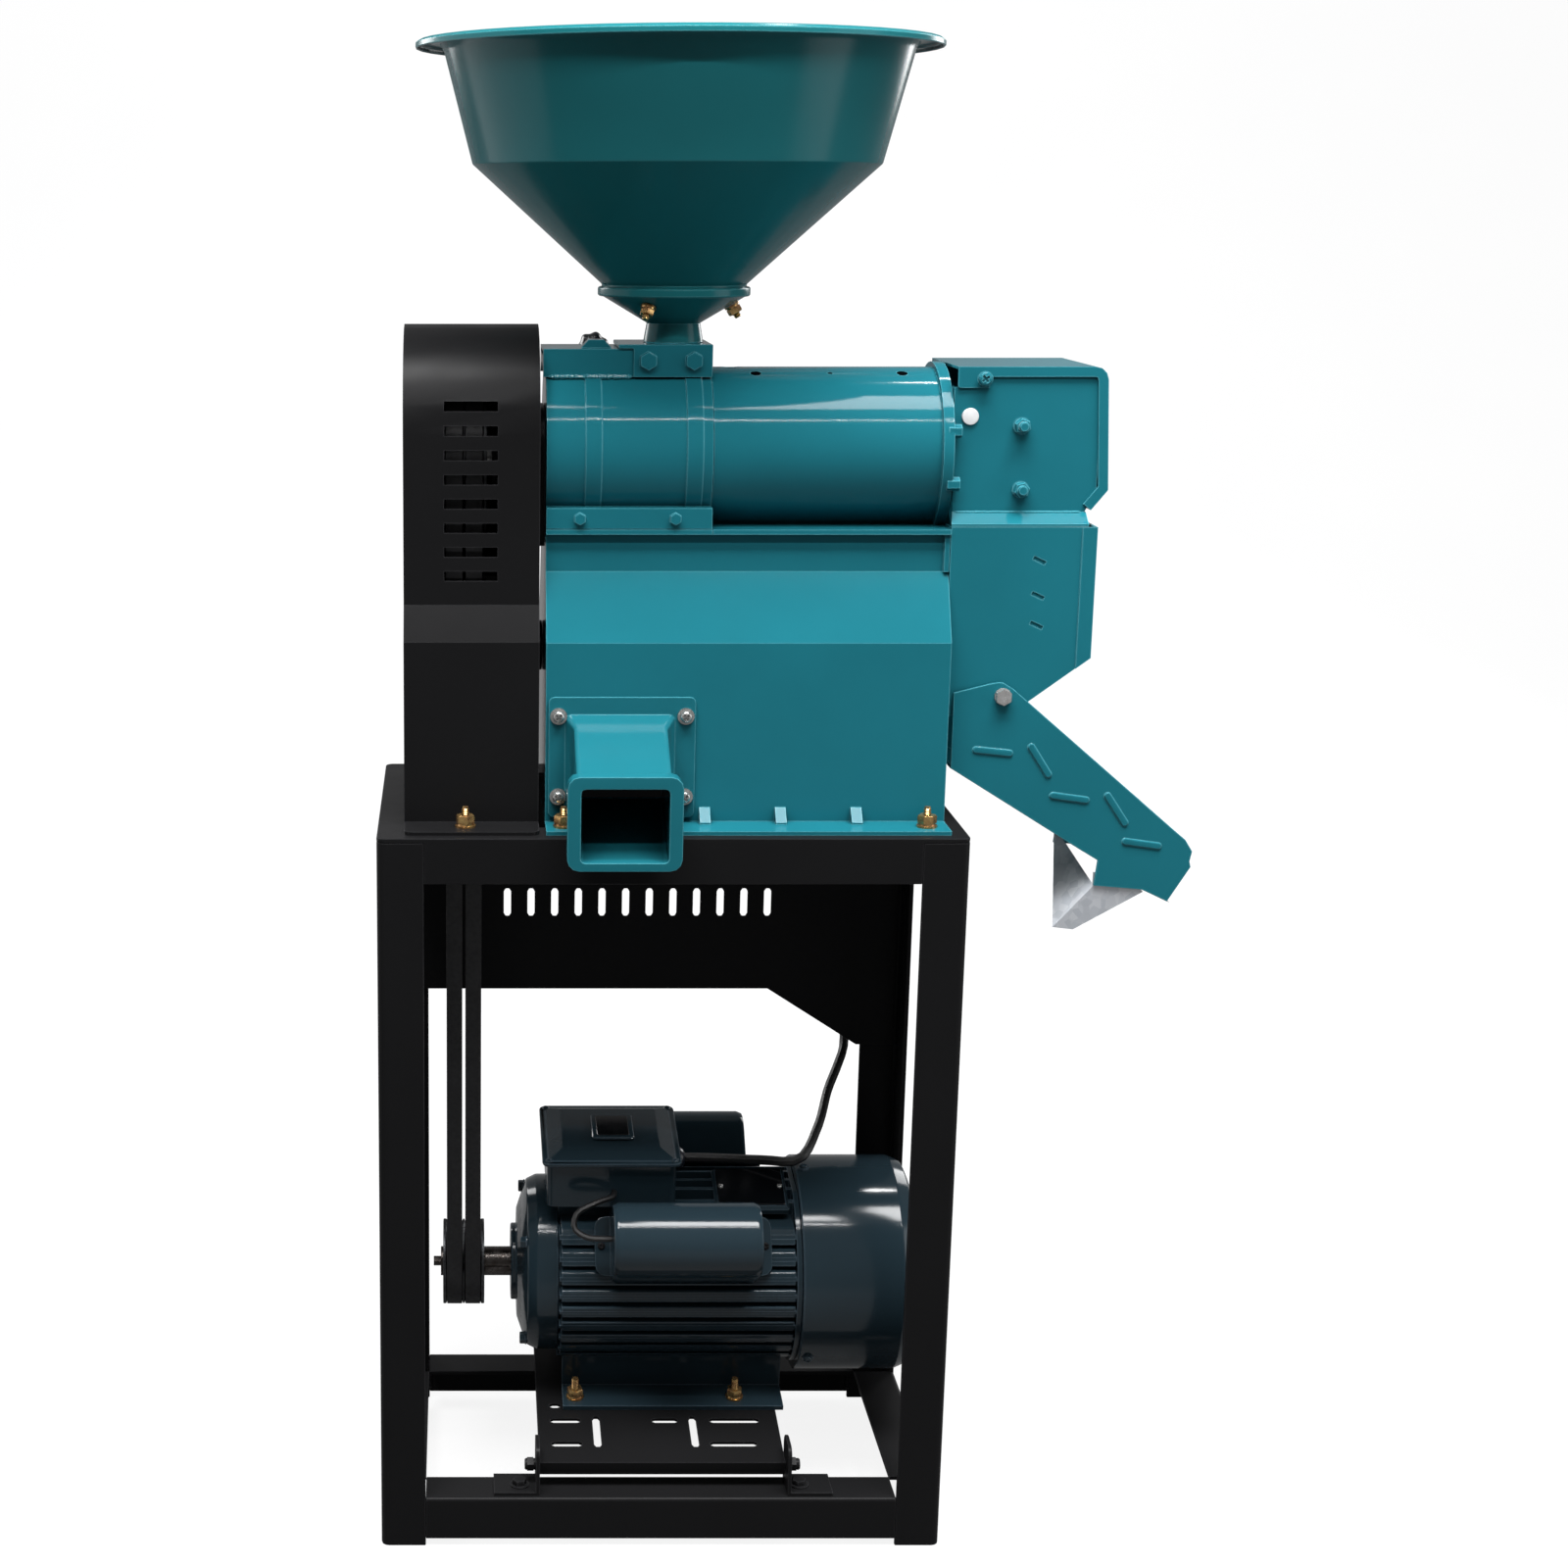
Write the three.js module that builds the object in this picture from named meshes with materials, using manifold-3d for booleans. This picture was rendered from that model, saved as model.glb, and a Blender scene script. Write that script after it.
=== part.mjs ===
// Coffee bean huller on an angle-iron stand with a belt drive.
// Lengths in millimetres, angles in degrees. X runs along the main shaft from the belt side to the
// outlet, Y from the discharge duct side to the switch side, Z up. X = 0 is the middle of the stand and
// Y = 0 the plane of the main shaft. The finished group is moved so that the middle of its footprint
// on the floor is the origin.

import * as THREE from 'three';
import { mergeVertices } from 'three/addons/utils/BufferGeometryUtils.js';
import Module from 'manifold-3d';

// Clearances shared by all pieces
const seatGap = 0.3;
const runningGap = 0.4;
const overrun = 2;
const weldTolerance = 0.0001;
const tinySize = 0.000001;

// Counts of facets
const largeRound = 48;
const mediumRound = 32;
const pulleyRound = 24;
const shaftRound = 20;
const smallRound = 12;
const boltRound = 8;
const cornerSteps = 3;

// Stand
const standWidth = 440;
const standDepth = 256;
const tableHeight = 576;
const angleWidth = 35;
const angleThickness = 3.5;
const angleCorner = 6;
const lowerRailTop = 41;

// Switch panel and switch box on the far side
const panelThickness = 2;
const panelDrop = 192;
const panelTailDrop = 242;
const panelStepStart = 104;
const panelStepEnd = 181;
const ventCount = 12;
const ventPitch = 20;
const ventHeight = 25;
const ventWidth = 6;
const ventCentreX = -8;
const ventDrop = 119;
const switchBoxX = 142;
const switchBoxDrop = 96;
const switchBoxWidth = 60;
const switchBoxHeight = 100;
const switchBoxDepth = 52;
const switchBoxWall = 2.5;
const switchBoxCorner = 6;
const buttonRadius = 10.5;
const buttonSpacing = 44;
const buttonProud = 5;
const buttonCollar = 13;
const buttonCollarDepth = 2;
const buttonStemRadius = 5;
const buttonStemLength = 22;
const cableHoleX = 152;
const cableHoleY = 150;

// Main line of the mill: places along X, heights above the table
const millLeft = -94;
const feedLength = 124;
const barrelLength = 169;
const barrelFlange = 8;
const shaftRise = 275;
const saddleRise = 217;
const saddleThickness = 4;
const saddleHalfDepth = 66;

// Mill body, the folded lower casing
const bodySheet = 3;
const bodyFootHalfDepth = 118;
const bodyHalfDepth = 86;
const bodyShoulderRise = 139;
const bodyNeckRise = 189;
const bodyNeckHalfDepth = 60;
const dropHalfDepth = 36;
const dropStart = 14;
const partitionX = 22;
const partitionSheet = 2;
const inletRadius = 40;
const airGateHalfDepth = 40;
const airGateBottom = 124;
const airGateTop = 184;
const footBeadCount = 3;
const footBeadX = 26;
const footBeadPitch = 57;
const footBeadRadius = 4;
const footBeadRise = 11;
const cornerStripWidth = 4;

// Feed chamber, its cover and the barrel
const chamberBore = 42;
const chamberWall = 5;
const chamberPlate = 4;
const chamberPlateRadius = 60;
const chamberBandHalfDepth = 62;
const chamberBandTop = 234;
const shellRadius = 64;
const shellSheet = 2.5;
const shellReach = 42;
const ledgeDepth = 15;
const coverSeam = 2;
const ribWidth = 12;
const ribProud = 1.2;
const firstRibX = 35;
const ribSpacing = 75;
const coverBoltX = 25;
const coverBoltSpacing = 71;
const coverBoltRise = 229;
const coverBoltFlats = 8;
const coverBoltHead = 4;
const barrelRadius = 61.5;
const barrelBore = 56;
const barrelFlangeRadius = 65.5;
const barrelBoltFlats = 9;
const barrelBoltHead = 5.5;
const barrelBoltY = 58.6;
const barrelBoltRises = [254, 293];
const barrelOutletRadius = 22;
const barrelOutletRise = 269;
const screenSheet = 1.6;
const screenRows = 3;
const screenColumns = 8;
const screenSlotWidth = 5;
const screenSpread = 78;

// Main shaft and what turns on it
const shaftRadius = 12.5;
const shaftLeft = -176;
const shaftTailGap = 4;
const screwRadius = 40;
const screwHubRadius = 19;
const screwPitch = 40;
const screwFlight = 4;
const rollerRadius = 44;
const rollerRibRadius = 50;
const rollerRibCount = 6;
const rollerGap = 4;

// Bearing
const bearingRadius = 26;
const bearingLength = 35;
const housingRadius = 33;
const housingPlate = 4.7;
const housingPlateHalfDepth = 45;
const housingPlateDrop = 69;
const housingPlateRise = 33;
const housingLip = 2;
const shaftPass = 1.5;

// Belt drive
const pulleyLeft = -172;
const pulleyWidth = 34;
const groovePitch = 15;
const grooveHalfWidth = 6.9;
const grooveDepth = 8.6;
const grooveAngle = 19;
const mainPulleyRadius = 66;
const fanPulleyRadius = 52;
const motorPulleyRadius = 35;
const beltThickness = 8;
const beltHalfWidth = 6.5;
const beltHalfWidthInside = 3.75;
const beltStep = 12;
const fanShaftY = 14;
const fanShaftRise = 120.5;
const fanShaftRadius = 8;
const fanShaftLeft = -176;
const fanBossRadius = 19.5;
const impellerRadius = 60;
const impellerLeft = -75;
const impellerWidth = 60;
const impellerHub = 15;
const impellerSheet = 2.5;
const bladeCount = 8;

// Belt guard
const guardSheet = 2;
const guardLeft = -200;
const guardRight = -99;
const guardRadius = 75.5;
const guardCentreRise = 293;
const guardBendRise = 166;
const guardBoxRise = 140;
const guardBoxHalfDepth = 88;
const guardFootHalfDepth = 120;
const guardFootSheet = 3;
const guardFootCorner = 7;
const guardSlotCount = 8;
const guardSlotPitch = 17.83;
const guardSlotLowest = 187.5;
const guardSlotWidth = 39.6;
const guardSlotHeight = 7.2;
const guardSlotX = -150;
const guardPlateHole = 36;

// Feed block, gate and hopper seat
const hopperX = 3;
const blockLeft = -96;
const blockHalfDepth = 33.7;
const seatTop = 355;
const seatSheet = 3;
const seatCheek = 2;
const seatTopLength = 70;
const seatCheekLength = 59;
const throatRadius = 21;
const seatBoltFlats = 12;
const seatBoltHead = 5;
const seatBoltX = 14;
const seatBoltSpacing = 34;
const seatBoltRise = 343;
const lugX = -56;
const lugLength = 23;
const lugRise = 6;
const lugHalfDepth = 10;
const gateRise = 348;
const gateSheet = 2.4;
const gateHalfDepth = 24;
const gateLeft = -66;
const gateTravel = 30;
const gateLap = 2;
const knobX = -55;
const knobRadius = 13;
const knobLength = 12;
const knobStandOff = 8;
const knobStemRadius = 2.4;

// Hopper and its collar
const collarNeckRadius = 22.6;
const collarNeckTopRadius = 20.2;
const collarNeckHeight = 14;
const collarConeRadius = 54;
const collarConeHeight = 20;
const collarFlangeRadius = 57.3;
const collarFlangeHeight = 7;
const collarSheet = 2;
const hopperSheet = 1.6;
const hopperLipRadius = 54.4;
const hopperLipRise = 398;
const hopperKneeRadius = 152;
const hopperKneeRise = 485.5;
const hopperBowlRadius = 173;
const hopperBowlRise = 566;
const hopperRimRadius = 194;
const hopperRise = 574;
const hopperRimDrop = 6;

// Discharge duct
const ductLeft = -92;
const ductPlateWidth = 110;
const ductPlateBottom = 6.5;
const ductPlateTop = 99;
const ductPlateSheet = 3;
const ductX = -38.5;
const ductBaseHalfWidth = 41;
const ductHalfWidth = 35;
const ductBaseDepth = 9;
const ductBaseFlare = 7;
const ductTop = 78.7;
const ductBottom = 18;
const ductDrop = 30;
const ductMouthY = -150;
const ductCollarDepth = 15;
const ductCollarWidth = 84;
const ductCollarTop = 55;
const ductCollarBottom = -15.5;
const ductCollarCorner = 9;
const ductWall = 3;
const ductRoundShare = 0.12;

// Outlet box, its cover and the pressure flap
const boxSheet = 2;
const boxHalfDepth = 52;
const boxLength = 109;
const boxBottom = 232;
const boxTop = 337.7;
const boxNotchRise = 324.6;
const boxLegRise = 249;
const boxFoot = 308;
const ledgeLength = 102;
const tieRodX = 259.5;
const tieRodRise = 249.4;
const tieRodRadius = 4;
const tieRodProud = 8;
const coverGap = 2.2;
const coverPivotX = 228.6;
const coverPivotRise = 331.3;
const coverPivotRadius = 5.9;
const coverScrewRadius = 5;
const coverScrewPin = 2.7;
const coverScrewHead = 3;
const coverTop = 340;
const coverLip = 7.5;
const coverRight = 320;
const coverFlareX = 324.6;
const coverFootX = 312.5;
const coverFootRise = 234;
const coverTabWidth = 23.5;
const coverTabHeight = 15.5;
const coverCorner = 10;
const flapPinX = 258.2;
const flapPinRise = 296.5;
const flapPinRadius = 4;
const flapSheet = 2.5;
const flapHalfDepth = 30;
const flapBottom = 244;
const flapTop = 293;
const flapHubRadius = 8;
const flapArmHalfDepth = 8;
const flapArmSheet = 5;
const flapLap = 2;

// Separator box under the outlet
const sepHalfDepth = 64;
const sepRight = 316;
const sepTop = 222.7;
const sepShoulder = 124;
const sepBottom = 80;
const sepSlope = 0.7416;
const sepStripWidth = 11;
const sepStripProud = 1;
const vaneLength = 32;
const vaneAngle = -25;
const vaneX = 274;
const vaneRises = [197.7, 171.2, 148.9];
const vaneSlotLength = 10;
const vaneSlotWidth = 3;

// Chute on its pivot bolts
const pivotX = 250.6;
const pivotRise = 95.5;
const chuteHalfDepth = 68;
const chuteSheet = 2;
const chuteReach = 151;
const chuteDrop = 160;
const pivotBoltRadius = 3;
const pivotBoltFlats = 11;
const pivotBoltHead = 4.5;
const pivotWasherRadius = 6.5;
const pivotWasher = 1.2;
const pressLength = 31;
const pressWidth = 5.6;
const pressProud = 1.2;
const deflectorSheet = 1.2;

// Motor, in its own tilted frame: Y along the base plate from the hinge, Z square to it
const motorHingeY = -106;
const motorHingeZ = 59;
const motorTilt = 8;
const plateLeft = -95;
const plateRight = 99.5;
const plateFront = -4;
const plateRear = 236;
const plateTop = 4;
const plateSheet = 2.5;
const plateFold = 11;
const motorAxisY = 149;
const motorAxisZ = 94;
const plateSlotWidth = 6;
const statorRadius = 66;
const finRadius = 79;
const finPitch = 14;
const finSheet = 3;
const finTop = 77.7;
const sideFins = 4;
const topFins = 2;
const statorLeft = -78;
const statorRight = 117;
const statorFlangeRadius = 81;
const statorFlange = 4;
const motorFootLeft = -74;
const motorFootRight = 106;
const motorFootFront = 66;
const motorFootDepth = 30;
const motorFootSheet = 4;
const motorWebTop = 56;
const shieldLeft = -116;
const shieldBossRadius = 31.5;
const shieldBoss = 5;
const shieldConeRadius = 45;
const shieldEdgeRadius = 68;
const shieldRadius = 72;
const shieldCone = 13;
const shieldRim = 21;
const fanCoverRadius = 88;
const fanCoverEnd = 212;
const fanCoverCorner = 14;
const fanCoverSheet = 2;
const fanCoverLip = 9;
const fanCoverSlots = 8;
const fanCoverSlotLength = 34;
const fanCoverSlotWidth = 6;
const fanCoverSlotRadius = 50;
const motorShaftRadius = 12;
const motorShaftLeft = -174;
const endBoltRadius = 4;
const endBoltLength = 6;
const terminalLeft = -88;
const terminalRight = 16;
const terminalFront = 104;
const terminalRear = 195;
const terminalHeight = 38;
const terminalWall = 3;
const terminalCorner = 6;
const lidOverhang = 4;
const lidSheet = 3;
const lidRaise = 6;
const lidBevel = 13;
const glandY = 168;
const glandZ = 181;
const glandRadius = 7;
const glandLength = 10;
const capacitorSeat = 79.3;
const capacitorFlange = 2.5;
const capacitorFrontAngle = 50.1;
const capacitorFrontReach = 110.8;
const capacitorFrontRadius = 30;
const capacitorFrontLeft = -37;
const capacitorFrontRight = 80;
const capacitorRearAngle = -51.2;
const capacitorRearReach = 105.3;
const capacitorRearRadius = 27;
const capacitorRearLeft = -34;
const capacitorRearRight = 83;
const capacitorEar = 13;
const capacitorCorner = 5;
const leadRadius = 2.5;
const leadRunOut = 7;
const leadSides = 8;
const leadSteps = 20;

// Hinge brackets of the motor base
const bracketSheet = 3;
const bracketFoot = 36;
const bracketDepth = 31;
const bracketHeight = 40;
const bracketCorner = 8;
const hingeBoltRadius = 3;
const hingeBoltFlats = 10;
const hingeBoltHead = 5;

// Motor cable from the gland to the switch box
const cableRadius = 4;
const cableSides = 8;
const cableSteps = 38;
const cableRunOut = 12;
const cableLean = 2;
const cableRunIn = 14;
const cableTail = 10;

// Sizes worked out from the ones above
const barrelLeft = millLeft + feedLength;
const flangeLeft = barrelLeft + barrelLength;
const millRight = flangeLeft + barrelFlange;
const legHeight = tableHeight - angleThickness;
const panelBack = standDepth / 2 - angleThickness - seatGap;
const switchBoxZ = tableHeight - switchBoxDrop;
const panelFront = panelBack - panelThickness;
const shellBore = shellRadius - shellSheet;
const blockTop = seatTop - seatSheet - seatGap;
const boxLeft = millRight + seatGap;
const housingLeft = guardRight - bearingLength;
const guardPlateLeft = guardRight - guardSheet - seatGap;

// Colours
const paintColours = {
  teal: [0x186e7a, 0.3, 0],
  hopperTeal: [0x1a6a70, 0.32, 0],
  black: [0x1b1b1a, 0.5, 0],
  slate: [0x212f38, 0.35, 0.1],
  rubber: [0x17171a, 0.75, 0],
  zinc: [0xaab0b7, 0.4, 0.9],
  steel: [0xb9bcc0, 0.35, 1],
  iron: [0x6c6f73, 0.5, 0.9],
  red: [0xa8211c, 0.4, 0],
  green: [0x1d7a3a, 0.4, 0]
};
const materials = {};
for (const [name, [color, roughness, metalness]] of Object.entries(paintColours)) {
  materials[name] = new THREE.MeshStandardMaterial({ name, color, roughness, metalness });
}

const wasm = await Module();
wasm.setup();

const radians = THREE.MathUtils.degToRad;

// Solids from three.js geometry

function solidFrom(geometry) {
  const plain = geometry.index ? geometry.toNonIndexed() : geometry;
  for (const name of Object.keys(plain.attributes)) {
    if (name !== 'position') plain.deleteAttribute(name);
  }
  const welded = mergeVertices(plain, weldTolerance);
  const points = welded.attributes.position.array;
  const corners = welded.index.array;
  const faces = [];
  let volume = 0;
  const [a, b, c] = [new THREE.Vector3(), new THREE.Vector3(), new THREE.Vector3()];
  for (let i = 0; i < corners.length; i += 3) {
    const [p, q, r] = [corners[i], corners[i + 1], corners[i + 2]];
    if (p === q || q === r || r === p) continue;
    faces.push([p, q, r]);
    a.fromArray(points, p * 3);
    b.fromArray(points, q * 3);
    c.fromArray(points, r * 3);
    volume += a.dot(b.cross(c));
  }
  const outward = volume < 0 ? faces.map(([p, q, r]) => [p, r, q]) : faces;
  const vertProperties = new Float32Array(points);
  const triVerts = new Uint32Array(outward.flat());
  return new wasm.Manifold(new wasm.Mesh({ numProp: 3, vertProperties, triVerts }));
}

function geometryFrom(solid) {
  const mesh = solid.getMesh();
  const geometry = new THREE.BufferGeometry();
  geometry.setAttribute('position', new THREE.BufferAttribute(mesh.vertProperties, 3));
  geometry.setIndex(new THREE.BufferAttribute(mesh.triVerts, 1));
  geometry.computeVertexNormals();
  return geometry;
}

function join(first, ...rest) {
  return rest.reduce((sum, solid) => sum.add(solid), first);
}

function cut(solid, ...tools) {
  return tools.reduce((left, tool) => left.subtract(tool), solid);
}

const unitX = new THREE.Vector3(1, 0, 0);
const unitY = new THREE.Vector3(0, 1, 0);
const unitZ = new THREE.Vector3(0, 0, 1);
const alongX = new THREE.Matrix4().makeBasis(unitY, unitZ, unitX);
const alongY = new THREE.Matrix4().makeBasis(unitX, unitZ, unitY.clone().negate());

// An outline pushed along one axis from low to high. The outline's first and second numbers are
// Y and Z along x, X and Z along y, X and Y along z.
function prism(axis, low, high, outline, holes = []) {
  const shape = new THREE.Shape(outline.map(([u, v]) => new THREE.Vector2(u, v)));
  shape.holes = holes.map((hole) => new THREE.Path(hole.map(([u, v]) => new THREE.Vector2(u, v))));
  const geometry = new THREE.ExtrudeGeometry(shape, { depth: high - low, bevelEnabled: false });
  if (axis === 'x') geometry.applyMatrix4(alongX).translate(low, 0, 0);
  if (axis === 'y') geometry.applyMatrix4(alongY).translate(0, high, 0);
  if (axis === 'z') geometry.translate(0, 0, low);
  return solidFrom(geometry);
}

function box(x, y, z) {
  const geometry = new THREE.BoxGeometry(x[1] - x[0], y[1] - y[0], z[1] - z[0]);
  geometry.translate((x[0] + x[1]) / 2, (y[0] + y[1]) / 2, (z[0] + z[1]) / 2);
  return solidFrom(geometry);
}

// A profile of [radius, place along the axis] turned about an axis through the two given coordinates
function turned(axis, place, profile, segments) {
  const points = profile.map(([radius, along]) => new THREE.Vector2(radius, along));
  if (profile[0][0] > tinySize) points.push(points[0].clone());
  const geometry = new THREE.LatheGeometry(points, segments, Math.PI / segments);
  if (axis === 'x') geometry.rotateZ(-Math.PI / 2).translate(0, place[0], place[1]);
  if (axis === 'y') geometry.translate(place[0], 0, place[1]);
  if (axis === 'z') geometry.rotateX(Math.PI / 2).translate(place[0], place[1], 0);
  return solidFrom(geometry);
}

function rod(axis, place, radius, low, high, segments = smallRound) {
  return prism(axis, low, high, circle(place, radius, segments));
}

function pipe(axis, place, radius, bore, low, high, segments = mediumRound) {
  return prism(axis, low, high, circle(place, radius, segments), [circle(place, bore, segments)]);
}

function hexagon(axis, place, flats, low, high) {
  return prism(axis, low, high, circle(place, flats / Math.sqrt(3), 6));
}

// Sections that follow one another, joined into a skin; closed in a loop or capped at both ends
function loft(sections, closed = false) {
  const count = sections[0].length;
  const positions = [];
  const triangle = (p, q, r) => positions.push(...p, ...q, ...r);
  const last = closed ? sections.length : sections.length - 1;
  for (let i = 0; i < last; i += 1) {
    const here = sections[i];
    const next = sections[(i + 1) % sections.length];
    for (let j = 0; j < count; j += 1) {
      const k = (j + 1) % count;
      triangle(here[j], here[k], next[k]);
      triangle(here[j], next[k], next[j]);
    }
  }
  if (!closed) {
    const end = sections[sections.length - 1];
    for (let j = 1; j < count - 1; j += 1) {
      triangle(sections[0][0], sections[0][j + 1], sections[0][j]);
      triangle(end[0], end[j], end[j + 1]);
    }
  }
  const geometry = new THREE.BufferGeometry();
  geometry.setAttribute('position', new THREE.Float32BufferAttribute(positions, 3));
  return solidFrom(geometry);
}

// Outlines

function circle([u, v], radius, segments) {
  const points = [];
  for (let i = 0; i < segments; i += 1) {
    const angle = (2 * Math.PI * (i + 0.5)) / segments;
    points.push([u + radius * Math.cos(angle), v + radius * Math.sin(angle)]);
  }
  return points;
}

function rectangle(u, v) {
  return [[u[0], v[0]], [u[1], v[0]], [u[1], v[1]], [u[0], v[1]]];
}

// Corners of an outline rounded with arcs; radii is one number or one for each corner
function rounded(points, radii, open = false) {
  const result = [];
  const count = points.length;
  points.forEach((corner, i) => {
    const radius = Array.isArray(radii) ? radii[i] : radii;
    const isEnd = open && (i === 0 || i === count - 1);
    if (isEnd || radius < tinySize) {
      result.push(corner);
      return;
    }
    const here = new THREE.Vector2(...corner);
    const before = new THREE.Vector2(...points[(i + count - 1) % count]).sub(here);
    const after = new THREE.Vector2(...points[(i + 1) % count]).sub(here);
    const half = Math.acos(before.dot(after) / (before.length() * after.length())) / 2;
    const reach = Math.min(radius / Math.tan(half), before.length() / 2, after.length() / 2);
    const trueRadius = reach * Math.tan(half);
    before.normalize();
    after.normalize();
    const middle = before.clone().add(after).normalize();
    const centre = here.clone().addScaledVector(middle, trueRadius / Math.sin(half));
    const from = here.clone().addScaledVector(before, reach).sub(centre);
    const to = here.clone().addScaledVector(after, reach).sub(centre);
    let sweep = to.angle() - from.angle();
    if (sweep > Math.PI) sweep -= 2 * Math.PI;
    if (sweep < -Math.PI) sweep += 2 * Math.PI;
    for (let step = 0; step <= cornerSteps; step += 1) {
      const spoke = from.clone().rotateAround(new THREE.Vector2(), (sweep * step) / cornerSteps);
      result.push([centre.x + spoke.x, centre.y + spoke.y]);
    }
  });
  return result;
}

function obround([u, v], length, width, angle = 0) {
  const radius = width / 2;
  const points = [];
  for (let end = 0; end < 2; end += 1) {
    const centre = (end === 0 ? 1 : -1) * (length / 2 - radius);
    for (let step = 0; step <= cornerSteps; step += 1) {
      const turn = -Math.PI / 2 + end * Math.PI + (Math.PI * step) / cornerSteps;
      points.push([centre + radius * Math.cos(turn), radius * Math.sin(turn)]);
    }
  }
  const [c, s] = [Math.cos(radians(angle)), Math.sin(radians(angle))];
  return points.map(([p, q]) => [u + p * c - q * s, v + p * s + q * c]);
}

// A strip of even thickness on the right-hand side of an open path
function strip(path, thickness) {
  const inner = path.map((point, i) => {
    const here = new THREE.Vector2(...point);
    const before = new THREE.Vector2(...path[Math.max(i - 1, 0)]);
    const after = new THREE.Vector2(...path[Math.min(i + 1, path.length - 1)]);
    const first = i === 0 ? after.clone().sub(here) : here.clone().sub(before);
    const second = i === path.length - 1 ? first.clone() : after.clone().sub(here);
    first.normalize();
    second.normalize();
    const along = first.clone().add(second).normalize();
    const stretch = thickness / along.dot(first);
    return [here.x + along.y * stretch, here.y - along.x * stretch];
  });
  return [...path, ...inner.reverse()];
}

// A strip whose corners are rounded, with smaller radii on its inside
function roundedStrip(path, radii, thickness) {
  const corners = strip(path, thickness);
  const inner = radii.map((radius) => Math.max(0, radius - thickness)).reverse();
  return rounded(corners, [...radii, ...inner]);
}

function scaled(shares, width, height) {
  return shares.map(([u, v]) => [u * width, v * height]);
}

// Pieces

const huller = new THREE.Group();
const stand = new THREE.Group();
const mill = new THREE.Group();
const chute = new THREE.Group();
const motor = new THREE.Group();
mill.position.z = tableHeight;
chute.position.set(pivotX, 0, pivotRise);
motor.position.set(0, motorHingeY, motorHingeZ);
motor.rotation.x = radians(motorTilt);
mill.add(chute);
huller.add(stand, mill, motor);

function piece(parent, name, material, solid) {
  const mesh = new THREE.Mesh(geometryFrom(solid), materials[material]);
  mesh.name = name;
  parent.add(mesh);
  return mesh;
}

// Stand: four legs, the table frame and four lower rails, all of angle iron

function buildLeg(name, sideX, sideY) {
  const [x, y] = [(sideX * standWidth) / 2, (sideY * standDepth) / 2];
  const corners = [
    [x, y],
    [x - sideX * angleWidth, y],
    [x - sideX * angleWidth, y - sideY * angleThickness],
    [x - sideX * angleThickness, y - sideY * angleThickness],
    [x - sideX * angleThickness, y - sideY * angleWidth],
    [x, y - sideY * angleWidth]
  ];
  const innerCorner = angleCorner / 2;
  const outline = rounded(corners, [angleCorner, 0, 0, innerCorner, 0, 0]);
  piece(stand, name, 'black', prism('z', 0, legHeight, outline));
}

function buildTopFrame() {
  const [x, y] = [standWidth / 2, standDepth / 2];
  const outer = rounded(rectangle([-x, x], [-y, y]), angleCorner);
  const opening = rectangle([angleWidth - x, x - angleWidth], [angleWidth - y, y - angleWidth]);
  const ring = prism('z', legHeight, tableHeight, outer, [opening]);
  const flange = [tableHeight - angleWidth, legHeight];
  const flanges = [-1, 1].flatMap((side) => {
    const wallY = [side * y, side * (y - angleThickness)].sort((a, b) => a - b);
    const wallX = [side * x, side * (x - angleThickness)].sort((a, b) => a - b);
    return [
      box([angleWidth - x, x - angleWidth], wallY, flange),
      box(wallX, [angleWidth - y, y - angleWidth], flange)
    ];
  });
  piece(stand, 'top_frame', 'black', join(ring, ...flanges));
}

function angleProfile(outer, side) {
  const inward = -side;
  const bottom = lowerRailTop - angleWidth;
  const corners = [
    [outer, lowerRailTop],
    [outer, bottom],
    [outer + inward * angleThickness, bottom],
    [outer + inward * angleThickness, lowerRailTop - angleThickness],
    [outer + inward * angleWidth, lowerRailTop - angleThickness],
    [outer + inward * angleWidth, lowerRailTop]
  ];
  return rounded(corners, [angleCorner / 2, 0, 0, angleCorner / 2, 0, 0]);
}

function buildLowerRails() {
  const [x, y] = [standWidth / 2, standDepth / 2];
  const [reachX, reachY] = [x - angleWidth, y - angleWidth];
  const long = (side) => prism('x', -reachX, reachX, angleProfile(side * y, side));
  const short = (side) => prism('y', -reachY, reachY, angleProfile(side * x, side));
  piece(stand, 'lower_rail_front', 'black', long(-1));
  piece(stand, 'lower_rail_rear', 'black', long(1));
  piece(stand, 'lower_rail_left', 'black', short(-1));
  piece(stand, 'lower_rail_right', 'black', short(1));
}

function buildSwitchPanel() {
  const reach = standWidth / 2 - angleThickness - angleCorner / 2 - seatGap;
  const top = legHeight - seatGap;
  const outline = [
    [-reach, top],
    [-reach, legHeight - panelDrop],
    [panelStepStart, legHeight - panelDrop],
    [panelStepEnd, legHeight - panelTailDrop],
    [reach, legHeight - panelTailDrop],
    [reach, top]
  ];
  const vents = [];
  for (let i = 0; i < ventCount; i += 1) {
    const x = ventCentreX + (i - (ventCount - 1) / 2) * ventPitch;
    vents.push(obround([x, tableHeight - ventDrop], ventHeight, ventWidth, 90));
  }
  piece(stand, 'switch_panel', 'black', prism('y', panelFront, panelBack, outline, vents));
}

const switchBoxFront = panelBack + seatGap;
const switchBoxFace = switchBoxFront + switchBoxDepth;
const buttonPlaces = [
  ['start_button', 'green', switchBoxZ + buttonSpacing / 2],
  ['stop_button', 'red', switchBoxZ - buttonSpacing / 2]
];

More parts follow.
